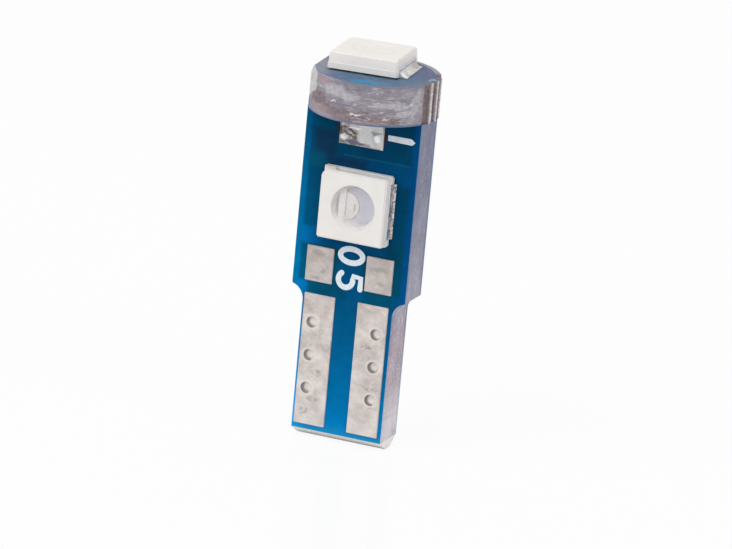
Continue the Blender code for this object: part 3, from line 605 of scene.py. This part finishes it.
# Features of the solder between the boards, as (x, z, reach each way) in millimetres
JOINT_STAINS = [
    (-1.06, 15.38, 0.12, 0.3),
    (-0.98, 14.82, 0.2, 0.05),
    (-0.36, 15.08, 0.13, 0.14),
    (-0.86, 15.56, 0.18, 0.07),
]
JOINT_STREAKS = [
    (-0.66, 15.22, 0.42, 0.055),
    (-0.55, 15.4, 0.3, 0.07),
    (-0.5, 15.13, 0.24, 0.04),
]
JOINT_SHADES = [
    (0.15, 14.8, 0.42, 0.12),
    (0.68, 15.5, 0.24, 0.13),
    (0.85, 15.52, 0.2, 0.08),
]
JOINT_PURPLE = [(-0.45, 14.88, 0.42, 0.14), (-0.1, 14.82, 0.3, 0.08)]
# Painted highlights on the solder
JOINT_GLINTS = [
    (-0.93, 15.06, 0.24, 0.15),
    (-0.36, 15.56, 0.36, 0.07),
    (0.8, 15.24, 0.22, 0.22),
]
STREAK_TILT = 32.0


def joint_material():
    """Board joint: smooth pale solder between flux stains at its left and darker patches at its
    upper right, with painted highlights.
    """
    g = Graph("joint_solder")
    x, y, z = g.axes()
    seen_x = g.seen(x, y)
    fine = g.noise(9.0, 4.0, 0.65)
    left = g.ramp(seen_x, -0.1, -0.3)
    metal = g.fade(fine, 0.35, 0.65, (0.62, 0.62, 0.61), (0.7, 0.7, 0.69))
    clouds = g.noise(5.0, 4.0, 0.65, warp=0.8)
    rusty = g.fade(clouds, 0.4, 0.6, (0.18, 0.14, 0.14), (0.66, 0.62, 0.62))
    g.colour = g.mix(g.times(left, 0.8), metal, rusty)
    low = g.times(g.ramp(seen_x, 0.45, 0.7), g.ramp(z, 15.05, 14.9))
    g.over(low, (0.68, 0.61, 0.6))
    side, rise = g.sway(seen_x, 5.0, 0.1), g.sway(z, 5.3, 0.09)
    g.over(g.spots(side, rise, JOINT_SHADES, 0.75), (0.23, 0.2, 0.25))
    dirt = g.fade(fine, 0.4, 0.62, (0.055, 0.035, 0.035), (0.2, 0.15, 0.15))
    along, across = g.toward(side, rise, -STREAK_TILT), g.toward(side, rise, 90.0 - STREAK_TILT)
    tilt = Matrix.Rotation(radians(STREAK_TILT), 2)
    turned = [(*(tilt @ Vector(streak[:2])), *streak[2:]) for streak in JOINT_STREAKS]
    g.over(g.spots(side, rise, JOINT_PURPLE, 0.85), (0.1, 0.085, 0.15))
    streaks = g.spots(along, across, turned, 0.92)
    stains = g.math("MAXIMUM", g.spots(side, rise, JOINT_STAINS, 0.9), streaks)
    g.over(stains, dirt)
    # Painted highlights
    g.over(g.spots(side, rise, JOINT_GLINTS, 0.95), (0.95, 0.95, 0.97))
    lumps, depth = g.noise(3.4, 4.0, 0.6, warp=1.0), g.ramp(left, 0.0, 1.0, 0.25, 1.0)
    g.bump(g.scaled(lumps, depth, g.times(fine, 0.12)), 0.08)
    return g.finish(Roughness=g.ramp(stains, 0.0, 1.0, 0.4, 0.6), Metallic=0.3)


def lead_material():
    """Plated lead frame: cool grey, warmer and paler on the raised seat under the die."""
    g = Graph("lead_frame")
    z = g.axes()[2]
    brushed = g.noise(2.2, 4.0, 0.6, (4.0, 1.0, 1.0))
    g.colour = g.fade(brushed, 0.3, 0.7, (0.6, 0.62, 0.72), (0.68, 0.7, 0.79))
    raised = g.ramp(z, CUP_FLOOR + 0.015, CUP_FLOOR + 0.03, 0.0, 0.9)
    g.over(raised, (0.87, 0.83, 0.77))
    below = g.ramp(z, CUP_FLOOR - 0.07, CUP_FLOOR - 0.12, 0.0, 0.7)
    stain = g.noise(4.0, 5.0, 0.7, warp=1.0)
    g.over(below, g.fade(stain, 0.4, 0.6, (0.16, 0.14, 0.13), (0.6, 0.58, 0.56)))
    g.bump(g.plus(brushed, g.times(stain, below)), 0.012)
    return g.finish(Roughness=g.ramp(brushed, 0.3, 0.7, 0.38, 0.5), Metallic=0.5)


# An olive painted shadow along a moulding's upper side, as (x, y, reach each way) in its frame
OLIVE_SHADOW_BAND = [(-1.15, 1.76, 0.75, 0.1), (-0.2, 1.76, 0.8, 0.09)]


def moulding_material(name, dark, pale):
    """Satin moulding, with an olive painted shadow along its upper side."""
    g = Graph(name)
    x, y, z = g.axes()
    tone = g.noise(1.2, 4.0, 0.6)
    grain = g.noise(22.0, 3.0, 0.6)
    g.colour = g.fade(tone, 0.3, 0.7, dark, pale)
    # Painted shadow, olive-tinted
    flux = g.times(g.spots(g.sway(x, 2.0, 0.2), y, OLIVE_SHADOW_BAND, 0.6), g.ramp(z, 0.4, 0.6))
    g.over(flux, (0.5, 0.47, 0.34))
    g.bump(g.plus(g.times(tone, 0.6), g.times(grain, 0.3)), 0.012)
    return g.finish(Roughness=g.ramp(tone, 0.3, 0.7, 0.42, 0.52), Specular_IOR_Level=0.4)


def filling_material(name, dark, pale):
    """Filling that is cloudy along its foot, as painted light for the cup's lit lower wall,
    cloudy where it is looked along, and clear elsewhere.
    """
    g = Graph(name)
    x, y, _ = g.axes()
    wave = g.noise(1.5, 2.0)
    g.bump(wave, 0.01, 0.3)
    slope = g.scaled(x, 0.25, y)
    # Below this window the cloudy foot is painted light: the cup's brightly lit lower wall
    window = g.ramp(g.sway(slope, 1.5, 0.15), -1.15, -0.4, smooth=True)
    milky_and_lit = g.fade(wave, 0.3, 0.7, dark, pale)
    facing = g.add("LayerWeight", {"Blend": 0.5}).outputs["Facing"]
    clear = g.times(g.ramp(window, 0.0, 1.0, 0.12, 0.74), g.ramp(facing, 0.25, 0.6, 1.0, 0.04))
    g.colour = g.mix(window, milky_and_lit, (0.81, 0.8, 0.82))
    g.over(g.ramp(facing, 0.3, 0.6), milky_and_lit)
    open_path = g.add("BsdfTransparent", {"Color": (0.97, 0.97, 0.98)}).outputs[0]
    g.blend(g.add("LightPath").outputs["Is Shadow Ray"], open_path)
    return g.finish(
        Roughness=0.12, IOR=1.05, Transmission_Weight=clear, Coat_Weight=0.2, Coat_Roughness=0.1
    )


def die_material():
    g = Graph("led_die")
    grid = g.noise(12.0, 2.0)
    g.colour = g.fade(grid, 0.4, 0.6, (0.74, 0.7, 0.67), (0.8, 0.77, 0.74))
    g.bump(grid, 0.004)
    return g.finish(Roughness=0.3)


# The resistor's black coat, in millimetres
COAT_DEPTH = 0.075


def resistor_material():
    """Black glass coat over pale ceramic."""
    g = Graph("resistor_coat")
    y = g.axes()[1]
    tone = g.noise(3.0, 4.0)
    black = g.fade(tone, 0.3, 0.7, (0.012, 0.012, 0.014), (0.03, 0.03, 0.034))
    ceramic = g.fade(tone, 0.3, 0.7, (0.7, 0.7, 0.68), (0.8, 0.8, 0.78))
    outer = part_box("resistor_body")[1].y / MM
    coat = g.math("GREATER_THAN", y, outer - COAT_DEPTH)
    g.bump(tone, 0.012)
    g.colour = g.mix(coat, ceramic, black)
    return g.finish(Roughness=0.32)


def ink_material():
    g = Graph("white_ink")
    tone = g.noise(6.0, 4.0, 0.6)
    g.colour = g.fade(tone, 0.35, 0.65, (0.66, 0.74, 0.8), (0.8, 0.86, 0.9))
    g.bump(tone, 0.008)
    return g.finish(Roughness=0.55)


# Making pieces


def new_object(name, data):
    made = bpy.data.objects.new(name, data)
    bpy.context.scene.collection.objects.link(made)
    return made


def add_piece(name, mesh, materials, place=None):
    """A visible piece that belongs to the root body and to one of its surfaces' slots."""
    piece = new_object(name, mesh)
    if place:
        piece.matrix_world = place
    for made in materials:
        mesh.materials.append(made)
    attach(piece, "root")
    return piece


def shade(mesh, degrees):
    mesh.shade_smooth()
    mesh.set_sharp_from_angle(angle=radians(degrees))


def welded(node, place):
    """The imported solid's mesh with its corners joined, in the frame of its place."""
    bm = bmesh.new()
    bm.from_mesh(NODES[node].data)
    bmesh.ops.remove_doubles(bm, verts=bm.verts, dist=WELD)
    bmesh.ops.transform(bm, matrix=place.inverted(), verts=bm.verts)
    bm.verts.index_update()
    mesh = bpy.data.meshes.new(node)
    faces = [[v.index for v in f.verts] for f in bm.faces]
    mesh.from_pydata([v.co for v in bm.verts], [], faces)
    bm.free()
    shade(mesh, SHARP)
    return mesh


# Cut ends of a lamp's two leads, which meet the cup's divider, and how far they are let into it
LEAD_ENDS = ((-0.76 * MM, 0.014 * MM), (-0.42 * MM, -0.014 * MM))
END_NEAR = 0.003 * MM
# How near the board's face a copper underside's points lie, and how far they are let into it
UNDERSIDE_NEAR, UNDERSIDE_DEPTH = 0.015 * MM, 0.004 * MM


def meet_divider(mesh):
    """Move the leads' cut ends through their hairline gaps, into the divider."""
    for vert in mesh.vertices:
        for end, shift in LEAD_ENDS:
            if abs(vert.co.x - end) < END_NEAR:
                vert.co.x += shift


def seat(mesh):
    """Lower a flat piece's underside through its hairline gap, onto the board's faces."""
    face = -FACE_Y
    for vert in mesh.vertices:
        if 0.0 < abs(vert.co.y) - face < UNDERSIDE_NEAR:
            vert.co.y = math.copysign(face - UNDERSIDE_DEPTH, vert.co.y)


def finer(node, made, place=None, bevel=0.0, adjust=None):
    """A smoothly shaded copy of a solid, with its sharp edges eased, that stands for it."""
    place = place or Matrix.Identity(4)
    mesh = welded(node, place)
    if adjust:
        adjust(mesh)
    piece = add_piece(node + "_fine", mesh, [made], place)
    even = piece.modifiers.new("even", "WEIGHTED_NORMAL")
    even.keep_sharp = True
    if bevel:
        ease = piece.modifiers.new("ease", "BEVEL")
        ease.width = bevel * MM
        ease.segments = 2
        ease.limit_method = "ANGLE"
        ease.angle_limit = radians(SHARP)
        ease.harden_normals = True
    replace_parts(piece, node)


def grid_mesh(name, rows, closed=False):
    """Quads between equally long rows of points."""
    width = len(rows[0])
    faces = []
    for i in range(len(rows) - 1):
        for j in range(width if closed else width - 1):
            k = (j + 1) % width
            faces.append((i * width + j, i * width + k, (i + 1) * width + k, (i + 1) * width + j))
    mesh = bpy.data.meshes.new(name)
    mesh.from_pydata([p for row in rows for p in row], [], faces)
    return mesh


@contextmanager
def edited(mesh, degrees):
    """Open a mesh for changes, then turn its faces outwards and shade it smoothly."""
    bm = bmesh.new()
    bm.from_mesh(mesh)
    yield bm
    bmesh.ops.recalc_face_normals(bm, faces=bm.faces)
    bm.to_mesh(mesh)
    bm.free()
    shade(mesh, degrees)


# The round board

RIM_STEPS, RIM_ROWS = 1080, 64
RIM_EASE = 0.035 * MM
RIDGE_EASE = 0.07 * MM
RIDGE_DROP = RIDGE_EASE * 0.6
# How far round, in radians, the stub's roughness and the two kinds of wear are looked for
STUB_HALF, WEAR_HALF = 0.7, 1.2
# Relief of the rim: millimetres high, scale round it, scale up it, shift in x and in y
RIM_RELIEF = [
    (0.008, 2.2, 9.0, 0.0, 0.0),
    (0.006, 5.0, 22.0, 9.0, 0.0),
    (0.006, 24.0, 8.0, 0.0, 3.0),
    (0.012, 1.5, 0.8, 0.0, 4.0),
]
# Millimetres: how far all of that lies in, pits of the worn places, and roughness of the bites
RIM_SUNK, PIT_DEPTH, BITE_ROUGH = 0.016, 0.012, 0.02
STUB_WOBBLE = 0.012


def tab_radius(off):
    """The cut tab's edge at an angle from its middle, or None where the rim is round."""
    out = DISC_R - TAB_DEPTH
    back, front = -math.atan2(TAB_RUN, out), math.acos(out / DISC_R)
    root = radians(TAB_BACK - TAB_ANGLE)
    if back <= off <= front:
        return out / cos(off)
    if root < off < back:
        return DISC_R + (math.hypot(out, TAB_RUN) - DISC_R) * (off - root) / (back - root)
    return None


def plain_radius(angle):
    """The rim before wear: round, the cut tab, or the snapped stub with its bites and ridges."""
    cut = tab_radius(remainder(angle - radians(TAB_ANGLE), tau))
    off = remainder(angle - radians(BITE_CENTRE), tau)
    pitch = BITE_PITCH / DISC_R
    half = pitch * (BITE_COUNT - 1) / 2
    if cut or abs(off) > half + (BITE_R + RIDGE_EASE) / DISC_R:
        return cut or DISC_R
    nearest = max(-half, min(half, round((off + half) / pitch) * pitch - half))
    across = abs(DISC_R * sin(off - nearest))
    radius = DISC_R + (STUB_RISE if abs(off) < half else 0.0)
    if across < BITE_R:
        return min(radius, DISC_R + BITE_INSET - math.sqrt(BITE_R**2 - across**2))
    eased = max(0.0, 1 - (across - BITE_R) / RIDGE_EASE)
    return radius - RIDGE_DROP * eased**2


def worn_radius(radius, angle, z):
    """The rim cut back to the worn corner and the rubbed flat, where they reach into it."""
    below = DISC_HIGH.z - z
    x, y = cos(angle), sin(angle)
    pits = PIT_DEPTH * MM * noise.noise(Vector((x * 14, y * 14, z / MM * 2.5)))
    off = remainder(angle - radians(WORN_ANGLE), tau)
    if abs(off) < WEAR_HALF:
        flat = DISC_R - WORN_DEPTH + below * WORN_DEPTH / WORN_H
        radius = min(radius, (flat + pits) / cos(off))
    off = remainder(angle - radians(RUBBED_ANGLE), tau)
    foot = RUBBED_H - DISC_R * sin(off) * math.tan(radians(RUBBED_SLANT))
    if abs(off) < WEAR_HALF and below < foot:
        radius = min(radius, (DISC_R - RUBBED_DEPTH + pits) / cos(off))
    return radius


def rim_radius(angle, z):
    """The rim with its cutter streaks, pits and wear."""
    x, y = cos(angle), sin(angle)
    wobble = 0.0
    if abs(remainder(angle, tau)) < STUB_HALF:
        wobble = STUB_WOBBLE * noise.noise(Vector((1.0, 5.0, z / MM * 1.6)))
    plain = plain_radius(angle + wobble)
    rough = 0.0
    for height, wide, tall, right, back in RIM_RELIEF:
        rough += height * noise.noise(Vector((x * wide + right, y * wide + back, z / MM * tall)))
    radius = plain + (rough - RIM_SUNK) * MM
    if plain < DISC_R and x > 0:
        radius -= BITE_ROUGH * MM * (1 + noise.noise(Vector((x * 30, y * 30, z / MM * 3.0))))
    return worn_radius(radius, angle, z)


def make_disc():
    """Routed rim with cutter streaks, bites, a cut tab and wear, eased top and bottom."""
    rows = []
    turns = [tau * j / RIM_STEPS for j in range(RIM_STEPS)]
    for i in range(RIM_ROWS + 1):
        z = DISC_LOW.z + (DISC_HIGH.z - DISC_LOW.z) * i / RIM_ROWS
        inset = RIM_EASE if i in (0, RIM_ROWS) else 0.0
        radii = [rim_radius(turn, z) - inset for turn in turns]
        rows.append([(r * cos(t), r * sin(t), z) for r, t in zip(radii, turns)])
    mesh = grid_mesh("top_board_fine", rows, closed=True)
    with edited(mesh, 40) as bm:
        bm.verts.ensure_lookup_table()
        for start, flip in ((0, True), (RIM_ROWS * RIM_STEPS, False)):
            loop = [bm.verts[start + j] for j in range(RIM_STEPS)]
            cap = bm.faces.new(reversed(loop) if flip else loop)
            cap.material_index = 1
    disc = add_piece("top_board_fine", mesh, [LAMINATE_EDGE, DISC_MASK])
    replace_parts(disc, "top_board")


# The lamps' fillings

CUP_X = 0.06 * MM
CUP_LOW, CUP_LOW_R = 0.452 * MM, 0.976 * MM
CUP_TOP, CUP_TOP_R = 0.846 * MM, 1.125 * MM
CUP_STEPS = 128
# Rings of points: shares of the floor's radius, of the wall's height and of the brim's radius,
# the last with how far the surface dips there, in millimetres
FLOOR_RINGS = (0.02, 0.5, 1.0)
WALL_RINGS = (0.25, 0.5, 0.75, 0.92, 1.0)
TOP_RINGS = ((0.985, 0.004), (0.95, 0.01), (0.85, 0.016), (0.5, 0.02), (0.02, 0.02))


def make_filling(node, made, place):
    """Cast filling that wets the cup's wall, and lies round the divider, the seat and the die."""
    levels = [(CUP_LOW, CUP_LOW_R * share) for share in FLOOR_RINGS]
    rise, flare = CUP_TOP - CUP_LOW, CUP_TOP_R - CUP_LOW_R
    levels += [(CUP_LOW + rise * share, CUP_LOW_R + flare * share) for share in WALL_RINGS]
    levels += [(CUP_TOP - dip * MM, CUP_TOP_R * share) for share, dip in TOP_RINGS]
    turns = [tau * k / CUP_STEPS for k in range(CUP_STEPS)]
    rows = [[(CUP_X + r * cos(t), r * sin(t), z) for t in turns] for z, r in levels]
    mesh = grid_mesh(node + "_fine", rows, closed=True)
    with edited(mesh, 30) as bm:
        bmesh.ops.holes_fill(bm, edges=[e for e in bm.edges if e.is_boundary])
    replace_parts(add_piece(node + "_fine", mesh, [made], place), node)


# Solder between the boards

JOINT_COLUMNS, JOINT_ROWS = 72, 56
# Millimetres: least height inside the border, height at the border, underside over the board
JOINT_LEAST, JOINT_SKIN, JOINT_UNDERSIDE = 0.02, 0.012, 0.004
# Share of the land over which the solder rises from its border
JOINT_BORDER = 0.05
# Solder climbs to the round board from this height, and is lumpy, all in millimetres
JOINT_FOOT, JOINT_CLIMB, JOINT_LUMPS = 0.05, 0.45, 0.04
# Two humps and a dip: millimetres high, middle and reach as shares of the land across and up
JOINT_HUMPS = [
    (0.14, (0.13, 0.3), (0.1, 0.2)),
    (0.2, (0.86, 0.42), (0.09, 0.25)),
    (-0.05, (0.3, 0.55), (0.09, 0.35)),
]


def joint_rise(across, up):
    """Height of the solder over the face, in millimetres, at shares 0 to 1 of the land."""
    rise = JOINT_FOOT + JOINT_CLIMB * (1 - math.sqrt(max(0.0, 1 - up**2)))
    for height, (u, v), (wide, tall) in JOINT_HUMPS:
        rise += height * math.exp(-(((across - u) / wide) ** 2 + ((up - v) / tall) ** 2))
    return rise + JOINT_LUMPS * noise.noise(Vector((across * 5.0, up * 3.5, 2.0)))


def make_joint(name, outward):
    """Solder that covers its land and climbs in a hollow curve to the round board."""
    low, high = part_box(name)
    face = outward * (-FACE_Y)
    rows = []
    for i in range(JOINT_ROWS + 1):
        row = []
        for j in range(JOINT_COLUMNS + 1):
            across, up = j / JOINT_COLUMNS, i / JOINT_ROWS
            border = min(across, 1 - across, up * 0.8 + 0.001) / JOINT_BORDER
            edge = min(1.0, border) ** 0.5
            rise = max(JOINT_LEAST, joint_rise(across, up)) * edge + JOINT_SKIN
            x = low.x + (high.x - low.x) * (across if outward < 0 else 1 - across)
            y = face + outward * rise * MM
            row.append((x, y, low.z + (high.z - low.z) * up))
        rows.append(row)
    mesh = grid_mesh(name + "_fine", rows)
    with edited(mesh, 50) as bm:
        edges = [e for e in bm.edges if e.is_boundary]
        made = bmesh.ops.extrude_edge_only(bm, edges=edges)["geom"]
        for item in made:
            if isinstance(item, bmesh.types.BMVert):
                item.co.y = face + outward * JOINT_UNDERSIDE * MM
        ring = [item for item in made if isinstance(item, bmesh.types.BMEdge)]
        bmesh.ops.contextual_create(bm, geom=ring)
    joint = add_piece(name + "_fine", mesh, [JOINT])
    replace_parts(joint, name)


# Printed marks

# Millimetres: the ink's height, its underside over the face, and how wide a stroke is
INK_T, INK_LIFT = 0.018, 0.0005
STROKE_W = 0.27
# Where the two marks stand on the face, and the short bar's outline about its middle
DIGITS_Z = 8.72
DASH_X, DASH_Z = 1.97, 15.36
DASH_TOP = [(-0.68, 0.13), (-0.64, 0.145), (0.5, 0.155)]
DASH_FOOT = [(0.71, 0.0), (0.56, -0.15), (-0.67, -0.13)]


def stroke(bm, points, closed=False):
    """A flat printed stroke with round ends along points of the face, in millimetres."""
    half, count = STROKE_W / 2, len(points)
    points = [Vector(point) for point in points]
    left, right = [], []
    for i, point in enumerate(points):
        before = points[i - 1] if closed or i else point
        after = points[(i + 1) % count] if closed or i < count - 1 else point
        ahead = (after - before).normalized()
        side = Vector((-ahead.y, ahead.x)) * half
        left.append(point + side)
        right.append(point - side)
    if closed:
        verts = [[bm.verts.new((p.x, 0, p.y)) for p in line] for line in (left, right)]
        for i in range(count):
            k = (i + 1) % count
            bm.faces.new((verts[0][i], verts[0][k], verts[1][k], verts[1][i]))
        return
    ends = []
    for centre, start in ((points[-1], left[-1]), (points[0], right[0])):
        turns = [Matrix.Rotation(-math.pi * k / 8, 2) for k in range(1, 8)]
        ends.append([centre + turn @ (start - centre) for turn in turns])
    outline = left + ends[0] + right[::-1] + ends[1]
    bm.faces.new([bm.verts.new((p.x, 0, p.y)) for p in outline])


def ink_piece(name, draw, place):
    bm = bmesh.new()
    draw(bm)
    bmesh.ops.recalc_face_normals(bm, faces=bm.faces)
    made = bmesh.ops.extrude_face_region(bm, geom=bm.faces[:])["geom"]
    for vert in made:
        if isinstance(vert, bmesh.types.BMVert):
            vert.co.y -= INK_T
    bmesh.ops.recalc_face_normals(bm, faces=bm.faces)
    bmesh.ops.scale(bm, vec=(MM, MM, MM), verts=bm.verts)
    mesh = bpy.data.meshes.new(name)
    bm.to_mesh(mesh)
    bm.free()
    add_piece(name, mesh, [INK], place)


def oval(centre, radii, start, end, steps):
    turns = [radians(start + (end - start) * i / steps) for i in range(steps + 1)]
    return [(centre[0] + radii[0] * cos(t), centre[1] + radii[1] * sin(t)) for t in turns]


def draw_digits(bm):
    """Two plain digits, read from the left edge of the board downwards."""
    ring = oval((-0.62, 0.0), (0.34, 0.57), 0, 360, 36)[:-1]
    stroke(bm, ring, closed=True)
    bowl = oval((0.58, -0.2), (0.38, 0.37), 95, -142, 15)
    stroke(bm, [(0.93, 0.57), (0.38, 0.57), (0.36, 0.17)] + bowl)


def draw_dash(bm):
    """A short bar, square at its left end and blunt-pointed at its right."""
    bm.faces.new([bm.verts.new((x, 0, z)) for x, z in DASH_TOP + DASH_FOOT])


def make_marks():
    y = FACE_Y - INK_LIFT * MM
    turn = Matrix.Rotation(radians(90), 4, "Y")
    digits = Matrix.Translation((0.0, y, DIGITS_Z * MM)) @ turn
    ink_piece("printed_digits", draw_digits, digits)
    ink_piece("printed_dash", draw_dash, Matrix.Translation((DASH_X * MM, y, DASH_Z * MM)))


# Camera, lights and floor

FOCUS = Vector((0.0, 0.0, 9.45)) * MM
VIEW_AZIMUTH, VIEW_ELEVATION, VIEW_ROLL = 21.15, 15.87, 5.26
VIEW_DISTANCE = 300 * MM
VIEW_RIGHT, VIEW_UP = 0.39 * MM, -1.17 * MM
LENS, SENSOR = 311.3, 36.0
NEAR, FAR = 0.01, 20.0

# Lights: degrees round and up, distance and size in metres, level
KEY = (-30.0, 42.0, 0.4, 0.25, 0.4)
FILL = (75.0, 25.0, 0.4, 0.25, 0.2)
WHITE = (1.0, 1.0, 1.0)
WORLD_LEVEL = 0.62
FLOOR_HALF, FLOOR_Z = 3.0, -0.02 * MM
FLOOR_WHITE = 0.9


def away(azimuth, elevation):
    """Direction out from the bulb, in degrees round from its front and up."""
    a, e = radians(azimuth), radians(elevation)
    return Vector((sin(a) * cos(e), -cos(a) * cos(e), sin(e)))


def make_camera():
    back = away(VIEW_AZIMUTH, VIEW_ELEVATION)
    right = away(VIEW_AZIMUTH + 90.0, 0.0)
    up = back.cross(right)
    roll = Matrix.Rotation(radians(VIEW_ROLL), 4, "Z")
    axes = Matrix((right, up, back)).transposed().to_4x4()
    data = bpy.data.cameras.new("camera")
    data.lens, data.sensor_width = LENS, SENSOR
    data.clip_start, data.clip_end = NEAR, FAR
    camera = new_object("camera", data)
    place = FOCUS + back * VIEW_DISTANCE + right * VIEW_RIGHT + up * VIEW_UP
    camera.matrix_world = Matrix.Translation(place) @ axes @ roll
    bpy.context.scene.camera = camera


def add_light(name, azimuth, elevation, distance, size, level):
    """A soft square light; level is how bright it makes a white surface that faces it."""
    out = away(azimuth, elevation)
    data = bpy.data.lights.new(name, "AREA")
    data.size = size
    data.energy = level * math.pi**2 * distance**2
    light = new_object(name, data)
    light.location = FOCUS + out * distance
    light.rotation_euler = out.to_track_quat("Z", "Y").to_euler()


def seen_directly(g):
    """1 for rays from the camera, or by a mirror or through glass, and 0 for lighting rays."""
    rays = g.add("LightPath").outputs
    kinds = ("Is Camera Ray", "Is Glossy Ray", "Is Transmission Ray")
    return g.any_of([rays[kind] for kind in kinds])


def make_world():
    """Plain even light, and a white background where it is seen."""
    g = Graph("studio", "worlds")
    bpy.context.scene.world = g.owner
    shown = g.tree.nodes["Background"].inputs
    g.feed(shown["Color"], WHITE)
    g.feed(shown["Strength"], g.ramp(seen_directly(g), 0.0, 1.0, WORLD_LEVEL, 1.0))


def make_floor():
    """Pale floor that takes the bulb's shadow, just under its tip."""
    mesh = bpy.data.meshes.new("floor")
    sides = ((-1, -1), (1, -1), (1, 1), (-1, 1))
    corners = [(x * FLOOR_HALF, y * FLOOR_HALF, FLOOR_Z) for x, y in sides]
    mesh.from_pydata(corners, [], [(0, 1, 2, 3)])
    floor = new_object("floor", mesh)
    g = Graph("floor")
    g.colour = (0.9, 0.9, 0.9)
    shown = g.add("Emission", {"Color": WHITE, "Strength": 1.0}).outputs[0]
    g.blend(g.times(seen_directly(g), FLOOR_WHITE), shown)
    mesh.materials.append(g.finish(Roughness=0.12, Specular_IOR_Level=0.5))


def lamp_frame(name):
    """Where a lamp's own frame lies in the bulb's."""
    location, rotation = LAMPS[name]
    turn = Matrix.Identity(4)
    for angle, axis in zip(rotation, "XYZ"):
        turn = Matrix.Rotation(radians(angle), 4, axis) @ turn
    return Matrix.Translation(Vector(location) * MM) @ turn


# All of it put together

MASK = solder_mask_material()
LAMINATE_EDGE = milled_laminate_material()
DISC_MASK = disc_mask_material()
TIN = tinned_material("tinned_copper", (0.54, 0.485, 0.455), (0.76, 0.7, 0.66))
LAND_TIN = tinned_material("tinned_lands", (0.5, 0.45, 0.425), (0.65, 0.6, 0.57))
SOLDER = solder_material()
JOINT = joint_material()
LEAD = lead_material()
DIE = die_material()
CHIP = resistor_material()
INK = ink_material()
# Moulding, filling and solder of the lamps on the faces, and of the one on top, whose moulding
# and filling are a warmer copy made lighter as painted light
FACE_LOOKS = (
    moulding_material("white_moulding", (0.81, 0.787, 0.754), (0.85, 0.825, 0.797)),
    filling_material("clear_filling", (0.8, 0.775, 0.745), (0.835, 0.81, 0.78)),
    lamp_solder_material(),
)
TOP_LOOKS = (
    # Warmer, and lighter as painted light
    moulding_material("warm_lit_moulding", (0.88, 0.845, 0.8), (0.91, 0.875, 0.835)),
    filling_material("warm_lit_filling", (0.88, 0.845, 0.8), (0.91, 0.875, 0.835)),
    smooth_solder_material(),
)

finer("main_board", MASK)
make_disc()
for side in ("left", "right"):
    finer(f"contact_{side}", TIN, adjust=seat)
    finer(f"front_land_{side}", LAND_TIN, adjust=seat)
    finer(f"resistor_cap_{side}", SOLDER, bevel=0.02)
    finer(f"resistor_joint_{side}", SOLDER)
finer("resistor_body", CHIP, bevel=0.008)
make_joint("board_joint_front", -1)
make_joint("board_joint_back", 1)
for lamp in LAMPS:
    place = lamp_frame(lamp)
    moulding, filling, solder = TOP_LOOKS if lamp == "top_led" else FACE_LOOKS
    finer(f"{lamp}_housing", moulding, place, bevel=0.03)
    make_filling(f"{lamp}_lens", filling, place)
    finer(f"{lamp}_die", DIE, place)
    for side in ("left", "right"):
        finer(f"{lamp}_lead_{side}", LEAD, place, adjust=meet_divider)
        finer(f"{lamp}_solder_{side}", solder, place)
make_marks()

make_camera()
make_world()
add_light("key", *KEY)
add_light("fill", *FILL)
make_floor()
bpy.context.scene.view_settings.view_transform = "Standard"
